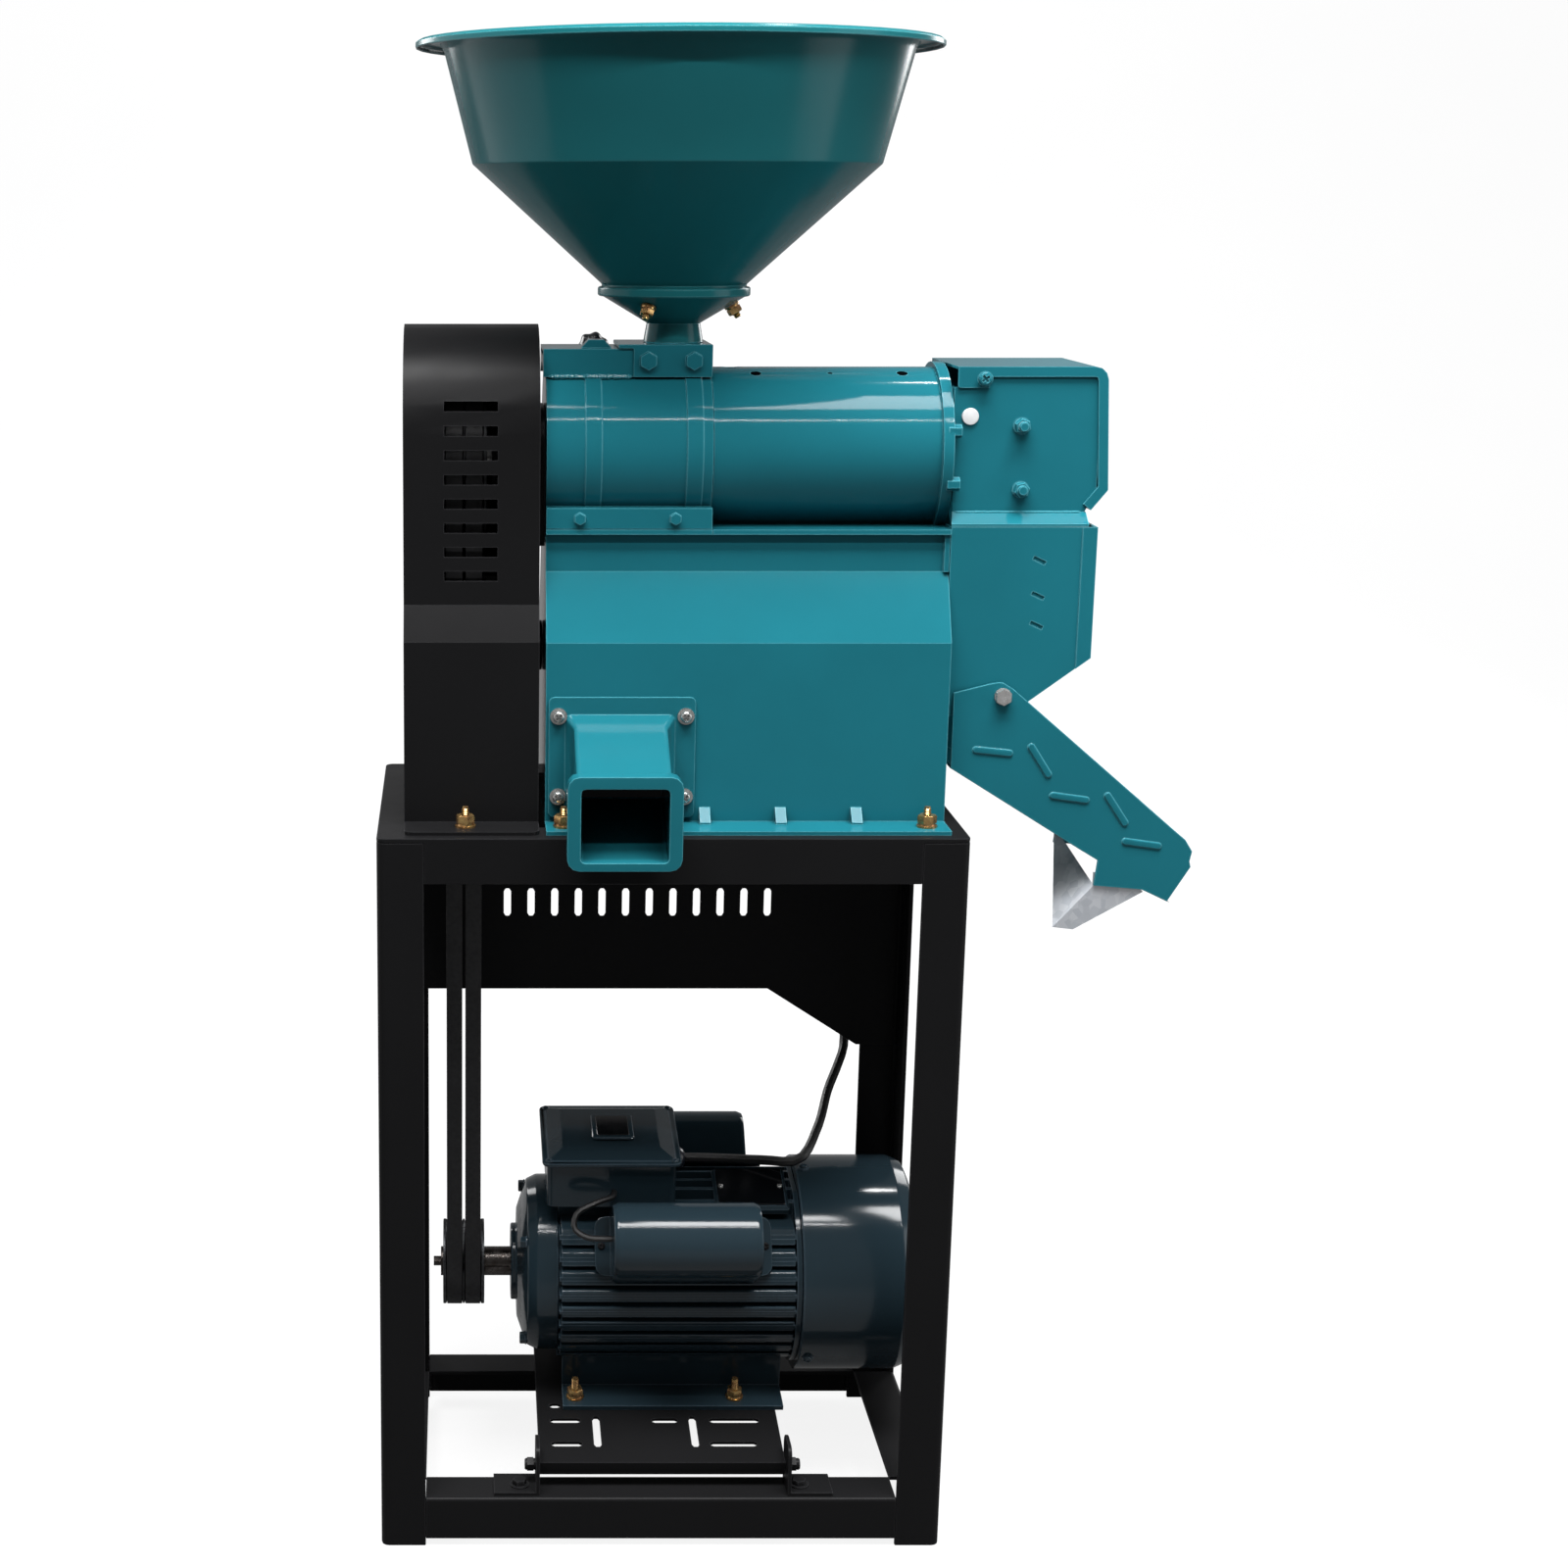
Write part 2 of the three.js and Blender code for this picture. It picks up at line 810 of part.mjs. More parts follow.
function buildSwitchBox() {
  const [x, z] = [switchBoxX, switchBoxZ];
  const [halfWidth, halfHeight] = [switchBoxWidth / 2, switchBoxHeight / 2];
  const outline = rounded(rectangle([x - halfWidth, x + halfWidth], [z - halfHeight, z + halfHeight]),
    switchBoxCorner);
  const wall = switchBoxWall;
  const hollow = box([x - halfWidth + wall, x + halfWidth - wall],
    [switchBoxFront - overrun, switchBoxFace - wall], [z - halfHeight + wall, z + halfHeight - wall]);
  const holes = buttonPlaces.map(([, , height]) =>
    rod('y', [x, height], buttonRadius + seatGap, switchBoxFront, switchBoxFace + overrun));
  const cableHole = rod('z', [cableHoleX, cableHoleY], cableRadius + runningGap,
    z - halfHeight - overrun, z - halfHeight + wall + overrun);
  piece(stand, 'switch_box', 'black',
    cut(prism('y', switchBoxFront, switchBoxFace, outline), hollow, ...holes, cableHole));
}

function buildButton(name, colour, height) {
  const inside = switchBoxFace - switchBoxWall - seatGap;
  const profile = [
    [0, inside - buttonStemLength],
    [buttonStemRadius, inside - buttonStemLength],
    [buttonStemRadius, inside - buttonCollarDepth],
    [buttonCollar, inside - buttonCollarDepth],
    [buttonCollar, inside],
    [buttonRadius, inside],
    [buttonRadius, switchBoxFace + buttonProud * 0.7],
    [buttonRadius * 0.88, switchBoxFace + buttonProud],
    [0, switchBoxFace + buttonProud]
  ];
  piece(stand, name, colour, turned('y', [switchBoxX, height], profile, smallRound));
}

// Mill body: folded casing that holds the fan, open below, with a drop opening under the screen

function bodyOutline(inset, base, top) {
  const lean = Math.atan2(bodyHalfDepth - bodyNeckHalfDepth, bodyNeckRise - bodyShoulderRise);
  const drop = inset * Math.tan(lean / 2);
  const half = [
    [bodyHalfDepth - inset, base],
    [bodyHalfDepth - inset, bodyShoulderRise - drop],
    [bodyNeckHalfDepth - inset, bodyNeckRise - drop],
    [bodyNeckHalfDepth - inset, top]
  ];
  return [...half, ...half.map(([u, v]) => [-u, v]).reverse()];
}

const ductHole = { x: [ductX - ductHalfWidth + ductWall, ductX + ductHalfWidth - ductWall],
  z: [ductBottom + ductWall, ductTop - ductWall] };

function footBead(index, side) {
  const x = footBeadX + index * footBeadPitch;
  const reach = footBeadRadius;
  const profile = [
    [side * (bodyHalfDepth - bodySheet / 2), bodySheet / 2],
    [side * (bodyHalfDepth + footBeadRise), bodySheet / 2],
    [side * (bodyHalfDepth + footBeadRise), bodySheet + reach * 0.4],
    [side * (bodyHalfDepth + reach * 0.4), bodySheet + footBeadRise],
    [side * (bodyHalfDepth - bodySheet / 2), bodySheet + footBeadRise]
  ];
  return prism('x', x - reach, x + reach, side < 0 ? profile : profile.slice().reverse());
}

function buildMillBody() {
  const outer = prism('x', millLeft, millRight, bodyOutline(0, 0, saddleRise));
  const inner = prism('x', millLeft + bodySheet, millRight - bodySheet,
    bodyOutline(bodySheet, -overrun, saddleRise - bodySheet));
  const feet = [-1, 1].map((side) => {
    const y = [side * bodyFootHalfDepth, side * (bodyHalfDepth - bodySheet)].sort((a, b) => a - b);
    return box([millLeft, millRight], y, [0, bodySheet]);
  });
  const beads = [];
  for (let i = 0; i < footBeadCount; i += 1) beads.push(footBead(i, -1), footBead(i, 1));
  const cornerStrip = box([millRight - cornerStripWidth, millRight],
    [-bodyNeckHalfDepth - bodySheet, -bodyNeckHalfDepth], [bodyNeckRise, saddleRise]);
  const drop = box([barrelLeft + dropStart, millRight - dropStart], [-dropHalfDepth, dropHalfDepth],
    [saddleRise - bodySheet - overrun, saddleRise + overrun]);
  const airGate = box([millRight - bodySheet - overrun, millRight + overrun],
    [-airGateHalfDepth, airGateHalfDepth], [airGateBottom, airGateTop]);
  const ductOpening = box(ductHole.x, [-bodyHalfDepth - overrun, -bodyHalfDepth + bodySheet + overrun],
    ductHole.z);
  const fanHole = rod('x', [fanShaftY, fanShaftRise], fanShaftRadius + shaftPass,
    millLeft - overrun, millLeft + bodySheet + overrun);
  const partition = cut(
    prism('x', partitionX - partitionSheet / 2, partitionX + partitionSheet / 2,
      bodyOutline(bodySheet / 2, bodySheet, saddleRise - bodySheet / 2)),
    rod('x', [fanShaftY, fanShaftRise], inletRadius, partitionX - overrun, partitionX + overrun,
      mediumRound));
  const shell = join(cut(join(outer, ...feet), inner), ...beads, cornerStrip);
  piece(mill, 'mill_body', 'teal', join(cut(shell, drop, airGate, ductOpening, fanHole), partition));
}

// Feed chamber: screw trough between two end plates, on a saddle flange, with a rear shell

const saddleBottom = saddleRise + seatGap;
const saddleTop = saddleRise + saddleThickness;

function shellSection(radius, bore, angles, low, high, segments = mediumRound) {
  const count = Math.max(2, Math.round(((angles[1] - angles[0]) / 360) * segments));
  const arc = (r, reverse) => {
    const points = [];
    for (let i = 0; i <= count; i += 1) {
      const share = reverse ? 1 - i / count : i / count;
      const angle = radians(angles[0] + share * (angles[1] - angles[0]));
      points.push([r * Math.cos(angle), shaftRise + r * Math.sin(angle)]);
    }
    return points;
  };
  return prism('x', low, high, [...arc(radius, false), ...arc(bore, true)]);
}

function buildFeedChamber() {
  const chamberRight = barrelLeft - seatGap;
  const axis = [0, shaftRise];
  const saddle = box([millLeft, chamberRight], [-saddleHalfDepth, saddleHalfDepth],
    [saddleBottom, saddleTop]);
  const band = box([millLeft, chamberRight], [-chamberBandHalfDepth, chamberBandHalfDepth],
    [saddleBottom, chamberBandTop]);
  const bandHollow = box([millLeft + chamberPlate, chamberRight - chamberPlate],
    [chamberWall - chamberBandHalfDepth, chamberBandHalfDepth - chamberWall],
    [saddleTop, chamberBandTop + overrun]);
  const plates = [millLeft, chamberRight - chamberPlate].map((x) =>
    rod('x', axis, chamberPlateRadius, x, x + chamberPlate, mediumRound));
  const trough = rod('x', axis, chamberBore + chamberWall, millLeft, chamberRight, mediumRound);
  const rearShell = shellSection(shellRadius, shellBore, [-shellReach, 90], millLeft, chamberRight);
  const ledge = box([millLeft, chamberRight], [chamberBandHalfDepth - ledgeDepth, chamberBandHalfDepth],
    [chamberBandTop - shellSheet, chamberBandTop]);
  const below = box([millLeft - overrun, chamberRight + overrun],
    [-chamberPlateRadius, chamberPlateRadius], [0, saddleBottom]);
  const bore = rod('x', axis, chamberBore, millLeft + chamberPlate, chamberRight + overrun, mediumRound);
  const shaftHole = rod('x', axis, shaftRadius + shaftPass, millLeft - overrun,
    millLeft + chamberPlate + overrun);
  const inlet = rod('z', [hopperX, 0], throatRadius, shaftRise, seatTop, mediumRound);
  const body = join(cut(band, bandHollow), saddle, ...plates, trough, rearShell, ledge);
  piece(mill, 'feed_chamber', 'teal', cut(body, below, bore, shaftHole, inlet, blockSpace()));
}

// The feed block stands in this space, so the shells under it end there
function blockSpace() {
  return box([blockLeft - seatGap, barrelLeft + seatGap],
    [-blockHalfDepth - seatGap, blockHalfDepth + seatGap],
    [shaftRise + chamberPlateRadius - chamberPlate, seatTop]);
}

function buildChamberCover() {
  const coverRight = barrelLeft - seatGap * 2;
  const angles = [90 + coverSeam, 180 + shellReach];
  const shell = shellSection(shellRadius, shellBore, angles, millLeft, coverRight);
  const ribs = [0, 1].map((i) => {
    const x = millLeft + firstRibX + i * ribSpacing;
    return shellSection(shellRadius + ribProud, shellBore, angles, x - ribWidth / 2, x + ribWidth / 2);
  });
  const ledgeBottom = chamberBandTop + seatGap;
  const skirt = box([millLeft, coverRight],
    [-chamberBandHalfDepth - seatGap - shellSheet, -chamberBandHalfDepth - seatGap],
    [saddleTop + seatGap, ledgeBottom + shellSheet]);
  const ledge = box([millLeft, coverRight],
    [-chamberBandHalfDepth - seatGap - shellSheet, ledgeDepth - chamberBandHalfDepth],
    [ledgeBottom, ledgeBottom + shellSheet]);
  const below = box([millLeft - overrun, coverRight + overrun],
    [-chamberBandHalfDepth - seatGap, 0], [0, ledgeBottom]);
  const bolts = [0, 1].map((i) => {
    const place = [millLeft + coverBoltX + i * coverBoltSpacing, coverBoltRise];
    const face = -chamberBandHalfDepth - seatGap - shellSheet;
    return hexagon('y', place, coverBoltFlats, face - coverBoltHead, face + seatGap);
  });
  const body = cut(join(shell, ...ribs), below, blockSpace());
  piece(mill, 'chamber_cover', 'teal', join(body, skirt, ledge, ...bolts));
}

// Holes along the top: place along the barrel, radius and place across it
const topHoleShares = [[0.1, 0.13, 0], [0.2, 0.07, -0.325], [0.53, 0.035, -0.325], [0.85, 0.07, -0.325]];

function buildBarrel() {
  const axis = [0, shaftRise];
  const tube = rod('x', axis, barrelRadius, barrelLeft, millRight, largeRound);
  const flange = rod('x', axis, barrelFlangeRadius, flangeLeft, millRight, largeRound);
  const saddle = box([barrelLeft, millRight], [-saddleHalfDepth, saddleHalfDepth],
    [saddleBottom, saddleTop]);
  const below = box([barrelLeft - overrun, millRight + overrun],
    [-barrelFlangeRadius, barrelFlangeRadius], [0, saddleBottom]);
  const bore = rod('x', axis, barrelBore, barrelLeft - overrun, flangeLeft, largeRound);
  const outlet = rod('x', [0, barrelOutletRise], barrelOutletRadius, flangeLeft - overrun,
    millRight + overrun, mediumRound);
  const dropHalf = dropHalfDepth / 2;
  const drop = box([barrelLeft + dropStart, flangeLeft - dropStart], [-dropHalf, dropHalf],
    [saddleBottom - overrun, saddleTop + overrun]);
  const topHoles = topHoleShares.map(([along, radius, y]) =>
    rod('z', [barrelLeft + along * barrelLength, y * barrelRadius], radius * barrelRadius,
      shaftRise + screwRadius, shaftRise + barrelFlangeRadius, boltRound));
  const bolts = barrelBoltRises.flatMap((rise) => [-1, 1].map((side) =>
    hexagon('x', [side * barrelBoltY, rise], barrelBoltFlats, flangeLeft + barrelFlange / 2,
      millRight + barrelBoltHead)));
  const body = cut(join(tube, flange, saddle), below, bore, outlet, drop, ...topHoles);
  piece(mill, 'hulling_barrel', 'teal', join(body, ...bolts));
}

function buildScreen() {
  const outer = barrelBore - runningGap;
  const [low, high] = [barrelLeft + rollerGap, flangeLeft - rollerGap];
  const sheet = shellSection(outer, outer - screenSheet, [-90 - screenSpread, -90 + screenSpread],
    low, high);
  const slots = [];
  const slotPitch = (high - low) / (screenColumns + 1);
  for (let row = 0; row < screenRows; row += 1) {
    const angle = -90 + ((row - (screenRows - 1) / 2) * screenSpread) / screenRows;
    const centre = [outer * Math.cos(radians(angle)), shaftRise + outer * Math.sin(radians(angle))];
    for (let column = 1; column <= screenColumns; column += 1) {
      const x = low + column * slotPitch;
      slots.push(prism('x', x - slotPitch / 3, x + slotPitch / 3,
        rectangle([centre[0] - screenSlotWidth / 2, centre[0] + screenSlotWidth / 2],
          [centre[1] - screenSheet * 3, centre[1] + screenSheet * 3])));
    }
  }
  piece(mill, 'screen', 'steel', cut(sheet, ...slots));
}

// Main shaft with the feed screw, the hulling roller and the main pulley

function buildMainShaft() {
  piece(mill, 'main_shaft', 'steel',
    rod('x', [0, shaftRise], shaftRadius, shaftLeft, flangeLeft - shaftTailGap, shaftRound));
}

function buildFeedScrew() {
  const [low, high] = [millLeft + chamberPlate + seatGap * 3, barrelLeft];
  const hub = pipe('x', [0, shaftRise], screwHubRadius, shaftRadius + seatGap, low, high);
  const flightLength = high - low - screwFlight;
  const steps = Math.round((flightLength / screwPitch) * smallRound);
  const sections = [];
  for (let i = 0; i <= steps; i += 1) {
    const angle = (2 * Math.PI * i * flightLength) / (steps * screwPitch);
    const x = low + (flightLength * i) / steps;
    const spoke = (radius, along) => [x + along, radius * Math.cos(angle),
      shaftRise + radius * Math.sin(angle)];
    const root = screwHubRadius - screwFlight / 2;
    sections.push([spoke(root, 0), spoke(screwRadius, 0), spoke(screwRadius, screwFlight),
      spoke(root, screwFlight)]);
  }
  piece(mill, 'feed_screw', 'iron', join(hub, loft(sections)));
}

// One rib of the roller: share of the pitch and share of the rib's height
const rollerRibShares = [[0, 1], [0.22, 1], [0.29, 0], [0.6, 0], [0.93, 0]];

function buildRoller() {
  const outline = [];
  for (let i = 0; i < rollerRibCount; i += 1) {
    const pitch = (2 * Math.PI) / rollerRibCount;
    for (const [along, proud] of rollerRibShares) {
      const angle = (i + along) * pitch;
      const radius = rollerRadius + proud * (rollerRibRadius - rollerRadius);
      outline.push([radius * Math.cos(angle), shaftRise + radius * Math.sin(angle)]);
    }
  }
  const [low, high] = [barrelLeft + seatGap, flangeLeft - shaftTailGap - rollerGap];
  const bore = circle([0, shaftRise], shaftRadius + seatGap, shaftRound);
  piece(mill, 'hulling_roller', 'iron', prism('x', low, high, outline, [bore]));
}

// A two-groove pulley, turned; its rim reaches the given radius
function pulley(place, radius, bore) {
  const [left, right] = [pulleyLeft, pulleyLeft + pulleyWidth];
  const middle = (left + right) / 2;
  const rootHalf = grooveHalfWidth - grooveDepth * Math.tan(radians(grooveAngle));
  const grooves = [-1, 1].flatMap((side) => {
    const centre = middle + (side * groovePitch) / 2;
    return [
      [radius, centre - grooveHalfWidth],
      [radius - grooveDepth, centre - rootHalf],
      [radius - grooveDepth, centre + rootHalf],
      [radius, centre + grooveHalfWidth]
    ];
  });
  const profile = [[bore, left], [radius, left], ...grooves, [radius, right], [bore, right]];
  return turned('x', place, profile, pulleyRound);
}

function buildMainPulley() {
  piece(mill, 'main_pulley', 'iron',
    pulley([0, shaftRise], mainPulleyRadius, shaftRadius + seatGap));
}

// Bearing and its housing on the chamber's end plate

function buildBearing() {
  const [low, high] = [housingLeft + housingLip, guardRight - seatGap];
  piece(mill, 'main_bearing', 'steel',
    pipe('x', [0, shaftRise], bearingRadius, shaftRadius + seatGap, low, high));
}

function buildBearingHousing() {
  const axis = [0, shaftRise];
  const plateRight = millLeft - seatGap;
  const plateLeftSide = plateRight - housingPlate;
  const plate = prism('x', plateLeftSide, plateRight, rounded(
    rectangle([-housingPlateHalfDepth, housingPlateHalfDepth],
      [shaftRise - housingPlateDrop, shaftRise + housingPlateRise]),
    [0, 0, housingPlateHalfDepth * 0.6, housingPlateHalfDepth * 0.6]));
  const barrel = rod('x', axis, housingRadius, housingLeft, plateRight, mediumRound);
  const bore = rod('x', axis, bearingRadius + seatGap, housingLeft + housingLip - seatGap, guardRight,
    mediumRound);
  const pass = rod('x', axis, shaftRadius + shaftPass, housingLeft - overrun, plateRight + overrun);
  piece(mill, 'bearing_housing', 'black', cut(join(plate, barrel), bore, pass));
}

// Belt guard: sheet hood over the pulleys, with vent slots front and rear

function guardOutline(inset, base) {
  const radius = guardRadius - inset;
  const points = [
    [guardBoxHalfDepth - inset, base],
    [guardBoxHalfDepth - inset, guardBoxRise],
    [radius, guardBendRise]
  ];
  const steps = smallRound;
  for (let i = 0; i <= steps; i += 1) {
    const angle = (Math.PI * i) / steps;
    points.push([radius * Math.cos(angle), guardCentreRise + radius * Math.sin(angle)]);
  }
  points.push([-radius, guardBendRise], [inset - guardBoxHalfDepth, guardBoxRise],
    [inset - guardBoxHalfDepth, base]);
  return points;
}

function buildBeltGuard() {
  const hood = prism('x', guardLeft, guardRight, guardOutline(0, 0));
  const hollow = prism('x', guardLeft + guardSheet, guardRight + overrun,
    guardOutline(guardSheet, -overrun));
  const feet = [-1, 1].map((side) => {
    const y = [side * guardFootHalfDepth, side * (guardBoxHalfDepth - guardSheet)];
    const corners = rectangle([guardLeft, guardRight], y.sort((a, b) => a - b));
    const front = side < 0 ? guardFootCorner : 0;
    const rear = side > 0 ? guardFootCorner : 0;
    return prism('z', 0, guardFootSheet, rounded(corners, [front, front, rear, rear]));
  });
  const slots = [];
  for (let i = 0; i < guardSlotCount; i += 1) {
    const rise = guardSlotLowest + i * guardSlotPitch;
    const outline = rectangle([guardSlotX - guardSlotWidth / 2, guardSlotX + guardSlotWidth / 2],
      [rise - guardSlotHeight / 2, rise + guardSlotHeight / 2]);
    slots.push(prism('y', -guardRadius - overrun, guardRadius + overrun, outline));
  }
  piece(mill, 'belt_guard', 'black', cut(join(hood, ...feet), hollow, ...slots));
}

function buildGuardPlate() {
  const inset = guardSheet + seatGap;
  const hole = circle([0, shaftRise], guardPlateHole, mediumRound);
  const plate = prism('x', guardPlateLeft, guardRight - seatGap, guardOutline(inset, seatGap), [hole]);
  const place = [fanShaftY, fanShaftRise];
  const boss = rod('x', place, fanBossRadius, guardPlateLeft, millLeft - seatGap, mediumRound);
  const bore = rod('x', place, fanShaftRadius + seatGap, guardPlateLeft - overrun, millLeft);
  piece(mill, 'guard_back_plate', 'black', cut(join(plate, boss), bore));
}

// Fan inside the mill body

function buildFan() {
  const place = [fanShaftY, fanShaftRise];
  const impellerRight = impellerLeft + impellerWidth;
  piece(mill, 'fan_shaft', 'steel', rod('x', place, fanShaftRadius, fanShaftLeft, impellerRight));
  piece(mill, 'fan_pulley', 'iron',
    pulley(place, fanPulleyRadius, fanShaftRadius + seatGap));
  const hub = rod('x', place, impellerHub, impellerLeft, impellerRight);
  const disc = rod('x', place, impellerRadius, impellerLeft, impellerLeft + impellerSheet, mediumRound);
  const blades = [];
  for (let i = 0; i < bladeCount; i += 1) {
    const angle = (2 * Math.PI * i) / bladeCount;
    const [c, s] = [Math.cos(angle), Math.sin(angle)];
    const blade = rectangle([impellerHub * 0.8, impellerRadius], [-impellerSheet / 2, impellerSheet / 2]);
    blades.push(prism('x', impellerLeft, impellerRight,
      blade.map(([u, v]) => [place[0] + u * c - v * s, place[1] + u * s + v * c])));
  }
  const bore = rod('x', place, fanShaftRadius + seatGap, impellerLeft - overrun, impellerRight + overrun);
  piece(mill, 'fan_impeller', 'iron', cut(join(hub, disc, ...blades), bore));
}

// Belts: a wedge section swept round the three pulleys

function motorAxisInMill() {
  const [c, s] = [Math.cos(radians(motorTilt)), Math.sin(radians(motorTilt))];
  return [motorHingeY + motorAxisY * c - motorAxisZ * s,
    motorHingeZ + motorAxisY * s + motorAxisZ * c - tableHeight];
}

function buildBelt(name, centreX) {
  const wheels = [
    [[0, shaftRise], mainPulleyRadius],
    [motorAxisInMill(), motorPulleyRadius],
    [[fanShaftY, fanShaftRise], fanPulleyRadius]
  ];
  const leaving = wheels.map(([here, radius], i) => {
    const [next, nextRadius] = wheels[(i + 1) % wheels.length];
    const run = new THREE.Vector2(next[0] - here[0], next[1] - here[1]);
    return run.angle() - Math.acos((radius - nextRadius) / run.length());
  });
  const sections = [];
  wheels.forEach(([here, radius], i) => {
    const from = leaving[(i + wheels.length - 1) % wheels.length];
    const sweep = THREE.MathUtils.euclideanModulo(leaving[i] - from, 2 * Math.PI);
    const steps = Math.max(1, Math.round(THREE.MathUtils.radToDeg(sweep) / beltStep));
    for (let step = 0; step <= steps; step += 1) {
      const angle = from + (sweep * step) / steps;
      const point = (depth, side) => [centreX + side,
        here[0] + (radius - depth) * Math.cos(angle), here[1] + (radius - depth) * Math.sin(angle)];
      sections.push([point(0, -beltHalfWidth), point(0, beltHalfWidth),
        point(beltThickness, beltHalfWidthInside), point(beltThickness, -beltHalfWidthInside)]);
    }
  });
  piece(mill, name, 'rubber', loft(sections, true));
}

// Feed block with the gate, hopper seat, collar and hopper

function buildFeedBlock() {
  const [left, right] = [blockLeft, barrelLeft];
  const block = box([left, right], [-blockHalfDepth, blockHalfDepth],
    [shaftRise + chamberPlateRadius - chamberPlate, blockTop]);
  const lugHalf = lugLength / 2;
  const lug = prism('y', -lugHalfDepth * 2, -lugHalfDepth / 2, [
    [lugX - lugHalf, blockTop - overrun],
    [lugX + lugHalf, blockTop - overrun],
    [lugX + lugHalf, blockTop],
    [lugX + lugHalf * 0.5, blockTop + lugRise],
    [lugX - lugHalf * 0.5, blockTop + lugRise],
    [lugX - lugHalf, blockTop]
  ]);
  const under = rod('x', [0, shaftRise], shellRadius + ribProud + seatGap, left - overrun,
    right + overrun, largeRound);
  const throat = rod('z', [hopperX, 0], throatRadius, shaftRise, seatTop, mediumRound);
  const slotHalf = gateSheet / 2 + seatGap;
  const gateRight = hopperX + throatRadius + gateLap;
  const gateSlot = box([left - overrun, gateRight + seatGap],
    [-gateHalfDepth - seatGap, gateHalfDepth + seatGap], [gateRise - slotHalf, gateRise + slotHalf]);
  const stemSlotWidth = (knobStemRadius + runningGap * 2) * 2;
  const stemSlot = prism('y', gateHalfDepth, blockHalfDepth + overrun,
    obround([knobX - gateTravel / 2, gateRise], gateTravel + stemSlotWidth, stemSlotWidth));
  piece(mill, 'feed_block', 'teal', cut(join(block, lug), under, throat, gateSlot, stemSlot));
}

function buildGate() {
  const gateRight = hopperX + throatRadius + gateLap;
  piece(mill, 'gate_plate', 'zinc', box([gateLeft, gateRight], [-gateHalfDepth, gateHalfDepth],
    [gateRise - gateSheet / 2, gateRise + gateSheet / 2]));
  const stemStart = gateHalfDepth + seatGap;
  const knobStart = blockHalfDepth + knobStandOff;
  const profile = [
    [0, stemStart],
    [knobStemRadius, stemStart],
    [knobStemRadius, knobStart],
    [knobRadius * 0.7, knobStart],
    [knobRadius, knobStart + knobLength * 0.25],
    [knobRadius, knobStart + knobLength * 0.75],
    [knobRadius * 0.8, knobStart + knobLength],
    [0, knobStart + knobLength]
  ];
  piece(mill, 'gate_knob', 'black', turned('y', [knobX, gateRise], profile, smallRound));
}

function buildHopperSeat() {
  const right = barrelLeft;
  const top = box([right - seatTopLength, right], [-blockHalfDepth - seatGap - seatCheek,
    blockHalfDepth + seatGap + seatCheek], [seatTop - seatSheet, seatTop]);
  const cheekFace = blockHalfDepth + seatGap;
  const cheeks = [-1, 1].map((side) => {
    const y = [side * cheekFace, side * (cheekFace + seatCheek)].sort((a, b) => a - b);
    return box([right - seatCheekLength, right], y, [shaftRise + chamberPlateRadius - chamberPlate,
      seatTop]);
  });
  const under = rod('x', [0, shaftRise], shellRadius + ribProud + seatGap,
    right - seatTopLength - overrun, right + overrun, largeRound);
  const throat = rod('z', [hopperX, 0], throatRadius, blockTop, seatTop + overrun, mediumRound);
  const bolts = [0, 1].flatMap((i) => [-1, 1].map((side) => {
    const face = cheekFace + seatCheek;
    const y = [side * (face - seatGap), side * (face + seatBoltHead)].sort((a, b) => a - b);
    return hexagon('y', [right - seatBoltX - i * seatBoltSpacing, seatBoltRise], seatBoltFlats,
      y[0], y[1]);
  }));
  piece(mill, 'hopper_seat', 'teal', join(cut(join(top, ...cheeks), under, throat), ...bolts));
}

function buildCollar() {
  const base = seatTop + seatGap;
  const neckTop = base + collarNeckHeight;
  const coneTop = neckTop + collarConeHeight;
  const top = coneTop + collarFlangeHeight;
  const edge = (collarFlangeRadius - collarConeRadius) / 3;
  const profile = [
    [collarNeckRadius - collarSheet, base],
    [collarNeckRadius, base],
    [collarNeckTopRadius, neckTop],
    [collarConeRadius, coneTop],
    [collarFlangeRadius - edge, coneTop],
    [collarFlangeRadius, coneTop + edge],
    [collarFlangeRadius, top - edge],
    [collarFlangeRadius - edge, top],
    [hopperLipRadius + seatGap, top],
    [hopperLipRadius + seatGap, coneTop + collarSheet],
    [collarConeRadius - collarSheet, coneTop + collarSheet * 0.7],
    [collarNeckTopRadius - collarSheet, neckTop + collarSheet * 0.4]
  ];
  piece(mill, 'hopper_collar', 'teal', turned('z', [hopperX, 0], profile, largeRound));
}

